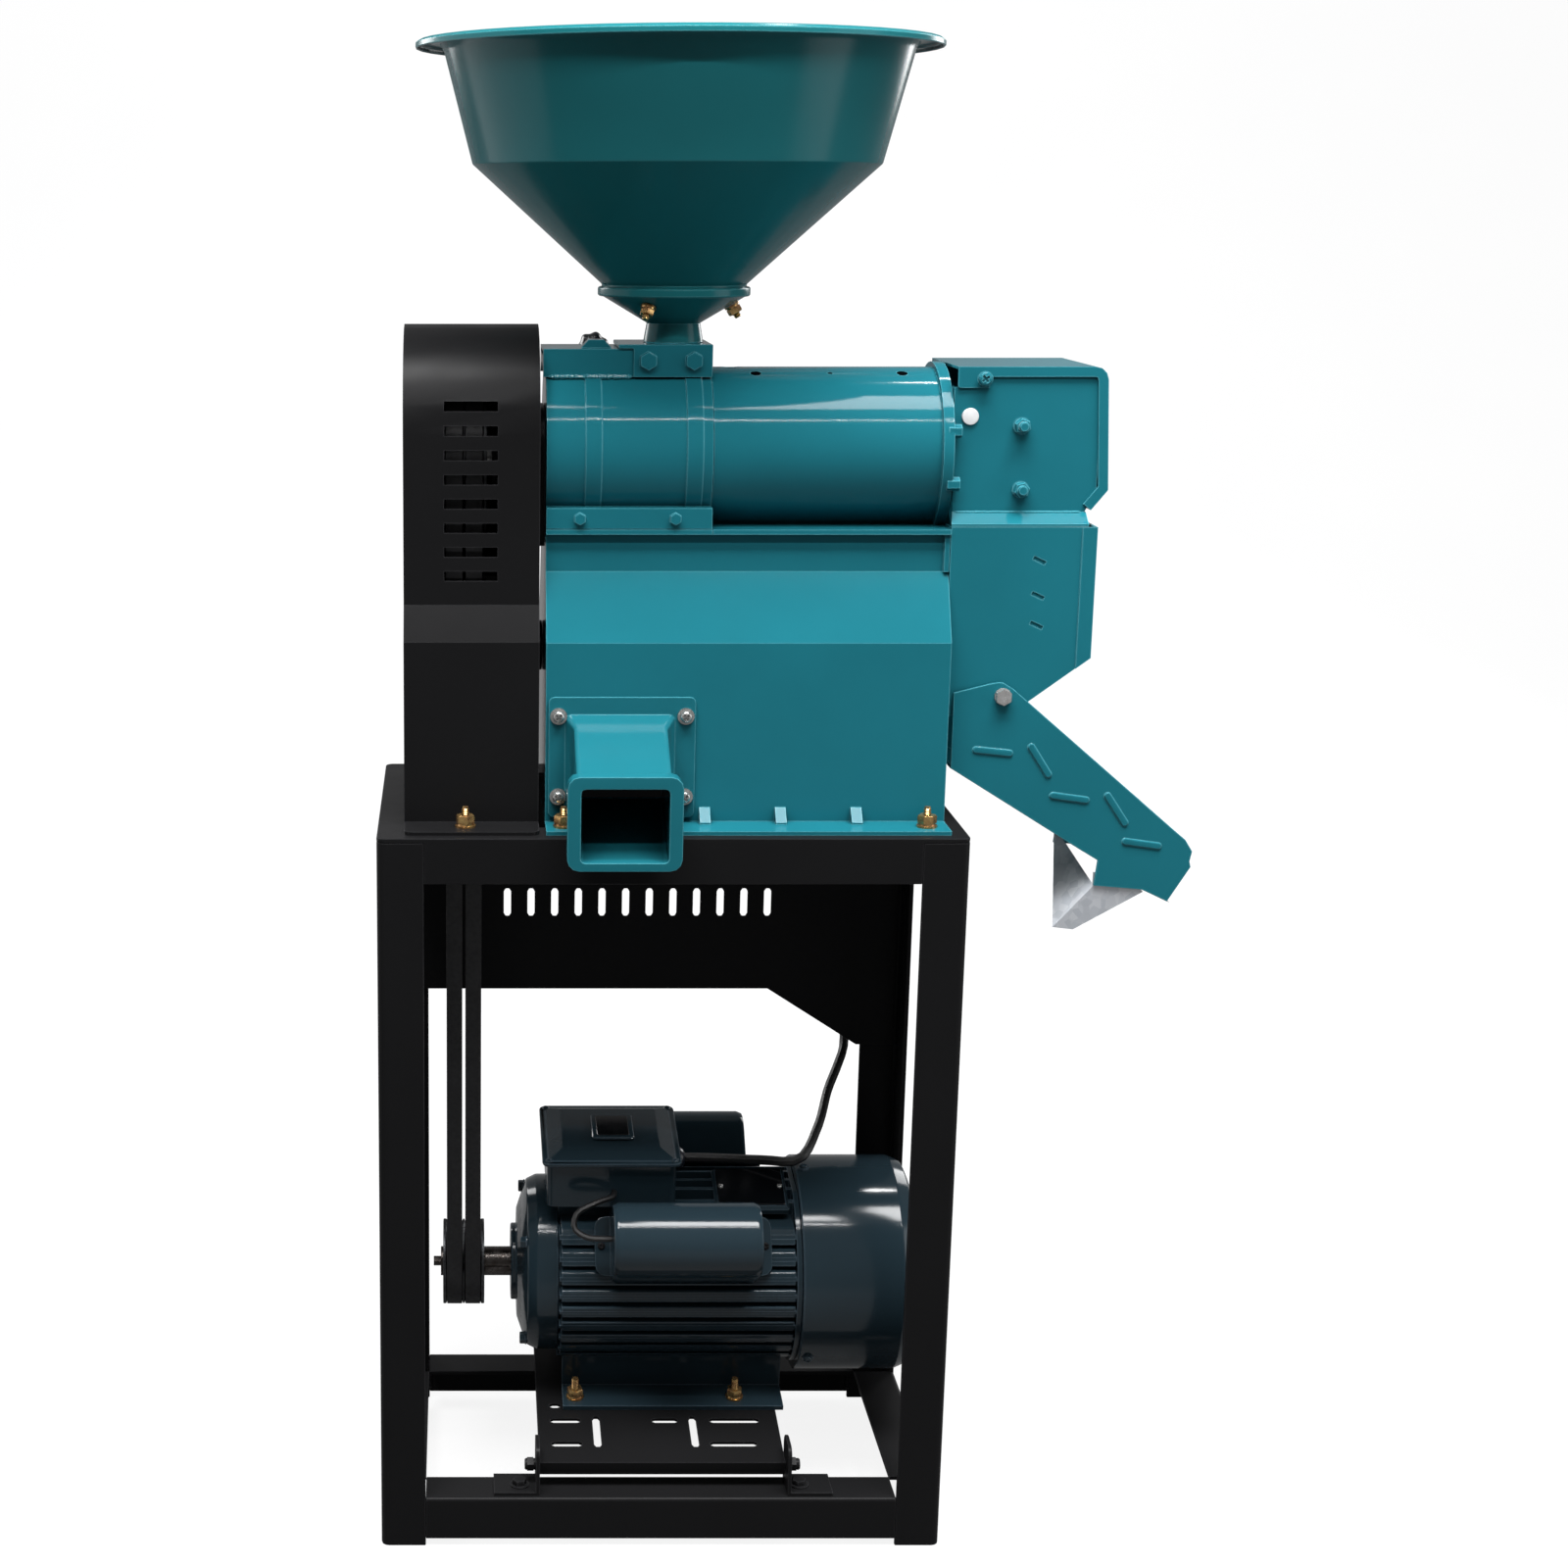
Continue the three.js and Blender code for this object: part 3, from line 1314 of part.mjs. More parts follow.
function buildHopper() {
  const wall = hopperSheet;
  const nestTop = hopperLipRise - collarFlangeHeight * 0.8;
  const nestRadius = hopperLipRadius - wall * 1.3;
  const slope = (collarConeRadius - collarNeckTopRadius) / collarConeHeight;
  const tailDrop = collarConeHeight * 0.5;
  const tailRadius = nestRadius - tailDrop * slope;
  const rimEdge = hopperRimDrop / 2;
  const profile = [
    [tailRadius, nestTop - tailDrop],
    [nestRadius, nestTop],
    [hopperLipRadius, hopperLipRise - collarFlangeHeight * 0.3],
    [hopperLipRadius, hopperLipRise],
    [hopperKneeRadius, hopperKneeRise],
    [hopperBowlRadius, hopperBowlRise],
    [hopperBowlRadius + wall * 2, hopperRise - wall * 1.5],
    [hopperRimRadius - rimEdge - wall * 0.5, hopperRise - wall],
    [hopperRimRadius - wall, hopperRise - wall - rimEdge * 0.4],
    [hopperRimRadius - wall, hopperRise - hopperRimDrop],
    [hopperRimRadius, hopperRise - hopperRimDrop],
    [hopperRimRadius, hopperRise - rimEdge * 0.7],
    [hopperRimRadius - rimEdge, hopperRise],
    [hopperBowlRadius + wall, hopperRise],
    [hopperBowlRadius - wall, hopperBowlRise + wall * 0.5],
    [hopperKneeRadius - wall, hopperKneeRise + wall * 0.5],
    [hopperLipRadius - wall, hopperLipRise + wall],
    [nestRadius - wall, nestTop + wall],
    [tailRadius - wall * 1.5, nestTop - tailDrop + wall * 0.3]
  ];
  piece(mill, 'hopper', 'hopperTeal', turned('z', [hopperX, 0], profile, largeRound));
}

// Discharge duct: a flange plate, a flared neck sloping down and a square mouth collar

function ductSection(y, halfWidth, bottom, top) {
  const [u, v] = [halfWidth, (top - bottom) / 2];
  const corner = ductRoundShare * v;
  const outline = rounded(rectangle([ductX - u, ductX + u], [bottom, top]), corner);
  return outline.map(([x, z]) => [x, y, z]);
}

function buildDuct() {
  const plateBack = -bodyHalfDepth - seatGap;
  const plateFace = plateBack - ductPlateSheet;
  const neckY = plateFace - ductBaseDepth;
  const slope = ductDrop / (neckY - ductMouthY);
  const drop = (y) => (neckY - y) * slope;
  const plate = prism('y', plateFace, plateBack, rounded(
    rectangle([ductLeft, ductLeft + ductPlateWidth], [ductPlateBottom, ductPlateTop]), ductCollarCorner / 2));
  const flare = ductBaseFlare;
  const outer = loft([
    ductSection(plateBack, ductBaseHalfWidth, ductBottom - flare, ductTop + flare),
    ductSection(plateFace, ductBaseHalfWidth, ductBottom - flare, ductTop + flare),
    ductSection(neckY, ductHalfWidth, ductBottom, ductTop),
    ductSection(ductMouthY, ductHalfWidth, ductBottom - ductDrop, ductTop - ductDrop)
  ]);
  const wall = ductWall;
  const innerEnd = ductMouthY - ductCollarDepth;
  const inner = loft([
    ductSection(plateBack + overrun, ductHalfWidth - wall, ductBottom + wall, ductTop - wall),
    ductSection(neckY, ductHalfWidth - wall, ductBottom + wall, ductTop - wall),
    ductSection(ductMouthY, ductHalfWidth - wall, ductBottom + wall - drop(ductMouthY),
      ductTop - wall - drop(ductMouthY)),
    ductSection(innerEnd - overrun, ductHalfWidth - wall, ductBottom + wall - drop(ductMouthY),
      ductTop - wall - drop(ductMouthY))
  ]);
  const collar = prism('y', innerEnd, ductMouthY, rounded(
    rectangle([ductX - ductCollarWidth / 2, ductX + ductCollarWidth / 2],
      [ductCollarBottom, ductCollarTop]), ductCollarCorner));
  piece(mill, 'discharge_duct', 'teal', cut(join(plate, outer, collar), inner));
}

// Outlet box: two side walls joined by the wall against the barrel, skirts below and a tie rod

function boxWallOutline() {
  const right = boxLeft + boxLength;
  return rounded([
    [boxLeft, boxBottom],
    [boxFoot, boxBottom],
    [right, boxLegRise],
    [right, boxTop],
    [coverPivotX, boxTop],
    [coverPivotX, boxNotchRise + coverPivotRadius],
    [boxLeft, boxNotchRise]
  ], [0, 0, 0, coverCorner, 0, 0, 0]);
}

function buildOutletBox() {
  const inner = boxHalfDepth - boxSheet;
  const pivot = [coverPivotX, coverPivotRise];
  const walls = [-1, 1].map((side) => {
    const y = [side * inner, side * boxHalfDepth].sort((a, b) => a - b);
    const ear = rod('y', pivot, coverPivotRadius, y[0], y[1]);
    return join(prism('y', y[0], y[1], boxWallOutline()), ear);
  });
  const endWall = box([boxLeft, boxLeft + boxSheet], [-boxHalfDepth, boxHalfDepth],
    [boxBottom, boxNotchRise]);
  const flapGate = box([boxLeft - overrun, boxLeft + boxSheet + overrun],
    [flapLap - flapHalfDepth, flapHalfDepth - flapLap], [flapBottom + flapLap, flapTop - flapLap]);
  const skirts = [-1, 1].map((side) => {
    const sheet = boxSheet;
    const outline = [
      [side * boxHalfDepth, boxBottom + sheet * 0.3],
      [side * sepHalfDepth, sepTop + seatGap + sheet],
      [side * sepHalfDepth, sepTop + seatGap],
      [side * (boxHalfDepth - sheet), boxBottom - sheet * 0.3],
      [side * (boxHalfDepth - sheet), boxBottom + sheet * 0.3]
    ];
    return prism('x', boxLeft, boxLeft + ledgeLength, side > 0 ? outline.reverse() : outline);
  });
  const rodEnd = boxHalfDepth + tieRodProud;
  const tieRod = turned('y', [tieRodX, tieRodRise], [
    [0, -rodEnd],
    [tieRodRadius * 0.7, -rodEnd + tieRodRadius * 0.3],
    [tieRodRadius, -rodEnd + tieRodRadius],
    [tieRodRadius, rodEnd - tieRodRadius],
    [tieRodRadius * 0.7, rodEnd - tieRodRadius * 0.3],
    [0, rodEnd]
  ], boltRound);
  const pinHole = rod('y', [flapPinX, flapPinRise], flapPinRadius + seatGap, -boxHalfDepth - overrun,
    boxHalfDepth + overrun, smallRound);
  const screwHole = rod('y', pivot, coverScrewPin + seatGap, -boxHalfDepth - overrun,
    boxHalfDepth + overrun, smallRound);
  const body = join(walls[0], walls[1], endWall, ...skirts);
  piece(mill, 'outlet_box', 'teal', join(cut(body, flapGate, pinHole, screwHole), tieRod));
}

function buildOutletCover() {
  const left = boxLeft + coverGap;
  const path = [[left, coverTop], [coverRight, coverTop], [coverFlareX, boxLegRise],
    [coverFootX, coverFootRise]];
  const radii = [0, coverCorner, coverCorner / 4, 0];
  const inside = boxHalfDepth + seatGap;
  const outside = inside + boxSheet;
  const top = prism('y', -outside, outside, roundedStrip(path, radii, boxSheet));
  const lips = [-1, 1].flatMap((side) => {
    const y = [side * inside, side * outside].sort((a, b) => a - b);
    const tab = rounded(rectangle([left, left + coverTabWidth], [coverTop - coverTabHeight, coverTop]),
      [boxSheet, 0, 0, 0]);
    const head = [side * outside, side * (outside + coverScrewHead)].sort((a, b) => a - b);
    const pin = [side * (boxHalfDepth - boxSheet), side * outside].sort((a, b) => a - b);
    return [
      prism('y', y[0], y[1], roundedStrip(path, radii, coverLip)),
      prism('y', y[0], y[1], tab),
      rod('y', [coverPivotX, coverPivotRise], coverScrewRadius, head[0], head[1], boltRound),
      rod('y', [coverPivotX, coverPivotRise], coverScrewPin, pin[0], pin[1], boltRound)
    ];
  });
  piece(mill, 'outlet_cover', 'teal', join(top, ...lips));
}

function buildPressureFlap() {
  const plateLeftSide = boxLeft + boxSheet + seatGap;
  const pinEnd = boxHalfDepth + tieRodProud;
  const plate = box([plateLeftSide, plateLeftSide + flapSheet], [-flapHalfDepth, flapHalfDepth],
    [flapBottom, flapTop]);
  const place = [flapPinX, flapPinRise];
  const pin = rod('y', place, flapPinRadius, -pinEnd, pinEnd, boltRound);
  const hub = rod('y', place, flapHubRadius, -flapArmHalfDepth, flapArmHalfDepth);
  const arm = prism('y', -flapArmHalfDepth / 2, flapArmHalfDepth / 2, [
    [plateLeftSide + flapSheet / 2, flapTop - flapArmSheet * 4],
    [flapPinX, flapPinRise - flapArmSheet],
    [flapPinX, flapPinRise + flapArmSheet / 2],
    [plateLeftSide + flapSheet / 2, flapTop - flapArmSheet]
  ]);
  piece(mill, 'pressure_flap', 'steel', join(plate, pin, hub, arm));
}

// Separator box: open above and below, with three sloping vanes between its side walls

function buildSeparator() {
  const [left, right, sheet] = [boxLeft, sepRight, boxSheet];
  const lower = right - (sepShoulder - sepBottom) / sepSlope;
  const outline = [[left, sepBottom], [lower, sepBottom], [right, sepShoulder], [right, sepTop],
    [left, sepTop]];
  const shell = prism('y', -sepHalfDepth, sepHalfDepth, outline);
  const hollow = box([left + sheet, right - sheet], [sheet - sepHalfDepth, sepHalfDepth - sheet],
    [sepBottom - overrun, sepTop + overrun]);
  const airGate = box([left - overrun, left + sheet + overrun], [-airGateHalfDepth, airGateHalfDepth],
    [airGateBottom, airGateTop]);
  const strips = [-1, 1].map((side) => {
    const y = [side * (sepHalfDepth - sheet / 2), side * (sepHalfDepth + sepStripProud)];
    const low = sepShoulder - sepStripWidth * sepSlope;
    return prism('y', ...y.sort((a, b) => a - b), [[right - sepStripWidth, low], [right, sepShoulder],
      [right, sepTop], [right - sepStripWidth, sepTop]]);
  });
  const vanes = vaneRises.map((rise) => prism('y', sheet / 2 - sepHalfDepth, sepHalfDepth - sheet / 2,
    tilted([vaneX, rise], vaneLength, sheet, vaneAngle)));
  const slots = vaneRises.flatMap((rise) => [-1, 1].map((side) => {
    const y = [side * (sepHalfDepth - sheet / 2), side * (sepHalfDepth + overrun)];
    return prism('y', ...y.sort((a, b) => a - b),
      tilted([vaneX, rise], vaneSlotLength, vaneSlotWidth, vaneAngle));
  }));
  const bolts = rod('y', [pivotX, pivotRise], pivotBoltRadius + seatGap, -chuteHalfDepth,
    chuteHalfDepth, smallRound);
  const body = join(cut(shell, hollow, airGate), ...strips, ...vanes);
  piece(mill, 'separator_box', 'teal', cut(body, ...slots, bolts));
}

function tilted([u, v], length, thickness, angle) {
  const [c, s] = [Math.cos(radians(angle)), Math.sin(radians(angle))];
  return rectangle([-length / 2, length / 2], [-thickness / 2, thickness / 2])
    .map(([p, q]) => [u + p * c - q * s, v + p * s + q * c]);
}

// Chute: two cheeks with pressed bars and a floor, in the frame of its pivot. The outline is in
// shares of the chute's reach and drop from the pivot.

const cheekShares = [
  [-0.245, 0.016], [-0.066, 0.059], [-0.024, 0.066], [0.051, 0.035], [0.914, -0.662], [0.96, -0.698],
  [0.998, -0.755], [0.988, -0.804], [0.995, -0.832], [0.887, -1.002], [0.754, -0.944], [0.507, -0.924],
  [0.522, -0.799], [0.424, -0.743], [-0.244, -0.348]
];
const floorShares = [[-0.244, -0.348], [0.424, -0.743], [0.887, -1.002]];
const pressShares = [
  [-0.037, -0.266, 6], [0.201, -0.31, -57], [0.36, -0.491, 8], [0.599, -0.547, -56], [0.738, -0.716, 8]
];

function buildChute() {
  const cheek = scaled(cheekShares, chuteReach, chuteDrop).reverse();
  const inner = chuteHalfDepth - chuteSheet;
  const cheeks = [-1, 1].map((side) => {
    const y = [side * inner, side * chuteHalfDepth].sort((a, b) => a - b);
    const face = [side * (chuteHalfDepth - chuteSheet / 2), side * (chuteHalfDepth + pressProud)];
    const bars = pressShares.map(([u, v, angle]) => prism('y', ...face.slice().sort((a, b) => a - b),
      obround([u * chuteReach, v * chuteDrop], pressLength, pressWidth, -angle)));
    return join(prism('y', y[0], y[1], cheek), ...bars);
  });
  const floorPath = scaled(floorShares, chuteReach, chuteDrop);
  const floor = prism('y', -inner, inner, strip(floorPath, -chuteSheet));
  const holes = rod('y', [0, 0], pivotBoltRadius + seatGap, -chuteHalfDepth - overrun,
    chuteHalfDepth + overrun, smallRound);
  const body = join(cheeks[0], cheeks[1], floor);
  piece(chute, 'chute_tray', 'teal', cut(body, holes));
}

// Folded zinc deflector hung behind the front cheek's lower tab
const deflectorShares = [[0.507, -0.86], [0.7, -0.9], [0.766, -0.958], [0.42, -1.146], [0.314, -1.134],
  [0.507, -0.93]];
const deflectorBackShares = [0.4, -0.742];

function buildDeflector() {
  const face = chuteHalfDepth - chuteSheet - seatGap;
  const outline = scaled(deflectorShares, chuteReach, chuteDrop).reverse();
  const cheek = prism('y', -face, deflectorSheet - face, outline);
  const [foldTop, foldBottom] = [outline[0], outline[1]];
  const back = [deflectorBackShares[0] * chuteReach, deflectorBackShares[1] * chuteDrop];
  const front = [
    [foldTop[0], -face, foldTop[1]],
    [foldBottom[0], -face, foldBottom[1]],
    [back[0], 0, back[1]]
  ];
  const shifted = front.map(([x, y, z]) => [x + deflectorSheet, y, z + deflectorSheet / 4]);
  piece(chute, 'chute_deflector', 'zinc', join(cheek, loft([front, shifted])));
}

function buildPivotBolt(name, side) {
  const face = chuteHalfDepth + seatGap;
  const place = [pivotX, pivotRise];
  const span = (from, to) => [side * from, side * to].sort((a, b) => a - b);
  const inside = sepHalfDepth - boxSheet - seatGap;
  const washer = span(face, face + pivotWasher);
  const head = span(face + pivotWasher / 2, face + pivotWasher + pivotBoltHead);
  const shank = span(inside - pivotBoltHead, face + pivotWasher);
  const nut = span(inside - pivotBoltHead, inside);
  piece(mill, name, 'steel', join(
    rod('y', place, pivotWasherRadius, washer[0], washer[1]),
    hexagon('y', place, pivotBoltFlats, head[0], head[1]),
    rod('y', place, pivotBoltRadius, shank[0], shank[1], boltRound),
    hexagon('y', place, pivotBoltFlats, nut[0], nut[1])));
}

// Motor base plate with its slots, folded edges and the two hinge bolts

// Front slots of the plate: their ends in shares of the plate's width and of the way from its front
// edge to below the motor's axis. The rear slots mirror them.
const slotShares = [
  [[0.05, 0.18], [0.16, 0.16]], [[0.05, 0.18], [0.366, 0.366]], [[0.05, 0.1], [0.5, 0.5]],
  [[0.473, 0.586], [0.366, 0.366]], [[0.704, 0.9], [0.16, 0.16]], [[0.715, 0.925], [0.366, 0.366]],
  [[0.243, 0.243], [0.134, 0.405]], [[0.645, 0.645], [0.134, 0.405]]
];

function buildBasePlate() {
  const top = box([plateLeft, plateRight], [plateFront, plateRear], [plateTop - plateSheet, plateTop]);
  const sides = [[plateLeft, plateLeft + plateSheet], [plateRight - plateSheet, plateRight]].map((x) =>
    box(x, [plateFront, plateRear], [plateTop - plateFold, plateTop]));
  const fold = box([plateLeft, plateRight], [plateFront, plateFront + plateSheet],
    [plateTop - plateFold, plateTop]);
  const slots = slotShares.flatMap((ends) => {
    const [x, y] = [
      ends[0].map((share) => plateLeft + share * (plateRight - plateLeft)),
      ends[1].map((share) => plateFront + share * (motorAxisY - plateFront))
    ];
    const centre = [(x[0] + x[1]) / 2, (y[0] + y[1]) / 2];
    const length = x[1] - x[0] + y[1] - y[0];
    const turn = x[1] > x[0] ? 0 : 90;
    const rear = [centre[0], motorAxisY * 2 - centre[1]];
    return [centre, rear].map((place) => prism('z', plateTop - plateSheet - overrun, plateTop + overrun,
      obround(place, length, plateSlotWidth, turn)));
  });
  const earGap = bracketSheet + seatGap * 2;
  const leftHead = plateLeft - earGap - plateSheet / 2;
  const rightHead = plateRight + earGap;
  const bolts = [
    rod('x', [0, 0], hingeBoltRadius, leftHead - hingeBoltHead, plateLeft + plateSheet, boltRound),
    hexagon('x', [0, 0], hingeBoltFlats, leftHead - hingeBoltHead, leftHead),
    rod('x', [0, 0], hingeBoltRadius, plateRight - plateSheet, rightHead + hingeBoltHead, boltRound),
    hexagon('x', [0, 0], hingeBoltFlats, rightHead, rightHead + hingeBoltHead)
  ];
  piece(motor, 'motor_base_plate', 'black', join(cut(join(top, ...sides, fold), ...slots), ...bolts));
}

const motorAxis = [motorAxisY, motorAxisZ];

function buildMotorHousing() {
  const core = rod('x', motorAxis, statorRadius, statorLeft, statorRight, mediumRound);
  const clip = rod('x', motorAxis, finRadius, statorLeft, statorRight, mediumRound);
  const fins = [];
  for (let i = -sideFins; i <= sideFins; i += 1) {
    const z = motorAxisZ + i * finPitch;
    fins.push(box([statorLeft, statorRight], [motorAxisY - finRadius, motorAxisY + finRadius],
      [z - finSheet / 2, z + finSheet / 2]));
  }
  for (let i = -topFins; i <= topFins; i += 1) {
    const y = motorAxisY + i * finPitch;
    fins.push(box([statorLeft, statorRight], [y - finSheet / 2, y + finSheet / 2],
      [motorAxisZ - finTop, motorAxisZ + finTop]));
  }
  const clipped = join(fins[0], ...fins.slice(1)).intersect(clip);
  const flange = rod('x', motorAxis, statorFlangeRadius, statorRight - statorFlange, statorRight,
    mediumRound);
  const base = plateTop + seatGap;
  const feet = [-1, 1].flatMap((side) => {
    const outer = motorAxisY + side * (motorAxisY - motorFootFront);
    const inner = outer - side * (motorFootDepth + motorFootSheet);
    const web = inner + side * motorFootSheet;
    return [
      box([motorFootLeft, motorFootRight], [outer, inner].sort((a, b) => a - b),
        [base, base + motorFootSheet]),
      box([motorFootLeft, motorFootRight], [inner, web].sort((a, b) => a - b), [base, motorWebTop])
    ];
  });
  const flat = box([statorLeft - overrun, statorRight + overrun],
    [motorAxisY - finRadius, motorAxisY + finRadius],
    [motorAxisZ + finTop, motorAxisZ + finRadius + overrun * 2]);
  const body = cut(join(core, clipped), flat);
  const trimmedFlange = cut(flange, flat);
  piece(motor, 'motor_housing', 'slate', join(body, trimmedFlange, ...feet));
}

function buildDriveShield() {
  const right = statorLeft - seatGap;
  const cone = shieldLeft + shieldBoss;
  const profile = [
    [motorShaftRadius + runningGap, shieldLeft],
    [shieldBossRadius, shieldLeft],
    [shieldBossRadius, cone],
    [shieldConeRadius, cone],
    [shieldEdgeRadius, cone + shieldCone * 0.6],
    [shieldRadius, shieldLeft + shieldRim],
    [shieldRadius, right],
    [motorShaftRadius + runningGap, right]
  ];
  piece(motor, 'drive_end_shield', 'slate', turned('x', motorAxis, profile, mediumRound));
}

function buildFanCover() {
  const left = statorRight + seatGap;
  const [outer, inner] = [fanCoverRadius, fanCoverRadius - fanCoverSheet];
  const profile = [
    [outer - fanCoverLip, left],
    [outer, left],
    [outer, fanCoverEnd - fanCoverCorner],
    [outer - fanCoverCorner * 0.3, fanCoverEnd - fanCoverCorner * 0.3],
    [outer - fanCoverCorner, fanCoverEnd],
    [0, fanCoverEnd],
    [0, fanCoverEnd - fanCoverSheet],
    [inner - fanCoverCorner, fanCoverEnd - fanCoverSheet],
    [inner - fanCoverCorner * 0.3, fanCoverEnd - fanCoverCorner * 0.3 - fanCoverSheet],
    [inner, fanCoverEnd - fanCoverCorner],
    [inner, left + fanCoverSheet],
    [outer - fanCoverLip, left + fanCoverSheet]
  ];
  const slots = [];
  for (let i = 0; i < fanCoverSlots; i += 1) {
    const turn = (360 * i) / fanCoverSlots;
    const place = [motorAxisY + fanCoverSlotRadius * Math.cos(radians(turn)),
      motorAxisZ + fanCoverSlotRadius * Math.sin(radians(turn))];
    slots.push(prism('x', fanCoverEnd - fanCoverSheet - overrun, fanCoverEnd + overrun,
      obround(place, fanCoverSlotLength, fanCoverSlotWidth, turn)));
  }
  piece(motor, 'fan_cover', 'slate', cut(turned('x', motorAxis, profile, mediumRound), ...slots));
}

function buildMotorShaft() {
  const shaft = rod('x', motorAxis, motorShaftRadius, motorShaftLeft, statorLeft - seatGap,
    shaftRound);
  const bolt = rod('x', motorAxis, endBoltRadius, motorShaftLeft - endBoltLength, motorShaftLeft,
    boltRound);
  piece(motor, 'motor_shaft', 'steel', join(shaft, bolt));
}

function buildMotorPulley() {
  piece(motor, 'motor_pulley', 'iron',
    pulley(motorAxis, motorPulleyRadius, motorShaftRadius + seatGap));
}

const terminalBottom = motorAxisZ + finTop + seatGap;
const terminalTop = terminalBottom + terminalHeight;

function buildTerminalBox() {
  const outline = (inset) => rounded(rectangle([terminalLeft + inset, terminalRight - inset],
    [terminalFront + inset, terminalRear - inset]), terminalCorner - inset);
  const body = prism('z', terminalBottom, terminalTop, outline(0));
  const hollow = prism('z', terminalBottom + terminalWall, terminalTop + overrun, outline(terminalWall));
  const gland = rod('x', [glandY, glandZ], glandRadius, terminalRight - terminalWall,
    terminalRight + glandLength);
  piece(motor, 'terminal_box', 'slate', join(cut(body, hollow), gland));
}

function buildTerminalLid() {
  const x = [terminalLeft - lidOverhang, terminalRight + lidOverhang];
  const y = [terminalFront - lidOverhang, terminalRear + lidOverhang];
  const bottom = terminalTop + seatGap;
  const plate = prism('z', bottom, bottom + lidSheet, rounded(rectangle(x, y), terminalCorner));
  const ring = (inset, height) => rectangle([x[0] + inset, x[1] - inset], [y[0] + inset, y[1] - inset])
    .map(([u, v]) => [u, v, height]);
  const raised = loft([ring(lidOverhang, bottom + lidSheet / 2), ring(lidOverhang, bottom + lidSheet),
    ring(lidOverhang + lidBevel, bottom + lidSheet + lidRaise)]);
  piece(motor, 'terminal_lid', 'slate', join(plate, raised));
}

// Capacitor covers, built in a frame whose Z points away from the motor's axis

function buildCapacitor(name, angle, reach, radius, left, right) {
  const group = new THREE.Group();
  group.position.set(0, motorAxisY, motorAxisZ);
  group.rotation.x = radians(angle);
  motor.add(group);
  const seat = capacitorSeat;
  const outline = [[-radius, seat], [radius, seat]];
  for (let i = 0; i <= smallRound; i += 1) {
    const turn = (Math.PI * i) / smallRound;
    outline.push([radius * Math.cos(turn), reach + radius * Math.sin(turn)]);
  }
  const inset = capacitorCorner * 0.4;
  const shrink = outline.map(([u, v], i) => (i < 2 ? [u * (1 - inset / radius), v]
    : [u * (1 - inset / radius), reach + (v - reach) * (1 - inset / radius)]));
  const section = (points, x) => points.map(([u, v]) => [x, u, v]);
  const can = loft([
    section(shrink, left),
    section(outline, left + capacitorCorner),
    section(outline, right - capacitorCorner),
    section(shrink, right)
  ]);
  const flange = prism('z', seat, seat + capacitorFlange, rounded(
    rectangle([left - capacitorEar, right + capacitorEar], [-radius * 0.8, radius * 0.8]), radius * 0.3));
  piece(group, name, 'slate', join(can, flange));
}

// A round tube along a smooth route of chosen points
function tubeAlong(points, radius, sides, steps) {
  const route = new THREE.CatmullRomCurve3(points.map((point) => new THREE.Vector3(...point)),
    false, 'centripetal');
  const section = new THREE.Shape(circle([0, 0], radius, sides).map(([u, v]) => new THREE.Vector2(u, v)));
  return solidFrom(new THREE.ExtrudeGeometry(section, { steps, extrudePath: route, bevelEnabled: false }));
}

function buildCapacitorLead() {
  const start = terminalFront - seatGap;
  const end = capacitorFrontLeft - seatGap;
  const route = [[-34, start, 186], [-35, start - leadRunOut, 186], [-50, 86, 186], [-65, 78, 181],
    [-67, 71, 172], [-58, 66, 167], [end - leadRunOut, 65, 166], [end, 65, 166]];
  piece(motor, 'capacitor_lead', 'rubber', tubeAlong(route, leadRadius, leadSides, leadSteps));
}

// Hinge brackets on the front lower rail

function buildBracket(name, side) {
  const face = side < 0 ? plateLeft - seatGap : plateRight + seatGap;
  const ear = [face, face + side * bracketSheet].sort((a, b) => a - b);
  const foot = [face, face + side * bracketFoot].sort((a, b) => a - b);
  const front = motorHingeY - bracketDepth * 0.6;
  const base = lowerRailTop;
  const outline = rounded(rectangle([front, front + bracketDepth], [base, base + bracketHeight]),
    [0, 0, bracketCorner, bracketCorner]);
  const hole = circle([motorHingeY, motorHingeZ], hingeBoltRadius + seatGap, smallRound);
  const standing = prism('x', ear[0], ear[1], outline, [hole]);
  const lying = box(foot, [front, front + bracketDepth], [base, base + bracketSheet]);
  piece(stand, name, 'black', join(standing, lying));
}

// Motor cable: straight out of the gland, round the motor and up to the hole in the switch panel

function buildMotorCable() {
  const [c, s] = [Math.cos(radians(motorTilt)), Math.sin(radians(motorTilt))];
  const y = motorHingeY + glandY * c - glandZ * s;
  const z = motorHingeZ + glandY * s + glandZ * c;
  const x = terminalRight + glandLength + seatGap;
  const bottom = switchBoxZ - switchBoxHeight / 2;
  const route = [[x, y, z], [x + cableRunOut, y, z], [62, y - cableLean, z], [92, 24, 264], [120, 17, 267],
    [139, 44, 285], [152, 80, 305], [164, 106, 319], [171, 124, 329], [172, 138, 350], [165, 148, 390],
    [cableHoleX + cableLean, cableHoleY, bottom - cableRunIn], [cableHoleX, cableHoleY, bottom],
    [cableHoleX, cableHoleY, bottom + cableTail]];
  piece(stand, 'motor_cable', 'rubber', tubeAlong(route, cableRadius, cableSides, cableSteps));
}

buildLeg('leg_front_left', -1, -1);
buildLeg('leg_front_right', 1, -1);
buildLeg('leg_rear_left', -1, 1);
buildLeg('leg_rear_right', 1, 1);
buildTopFrame();
buildLowerRails();
buildSwitchPanel();
buildSwitchBox();
for (const [name, colour, height] of buttonPlaces) buildButton(name, colour, height);

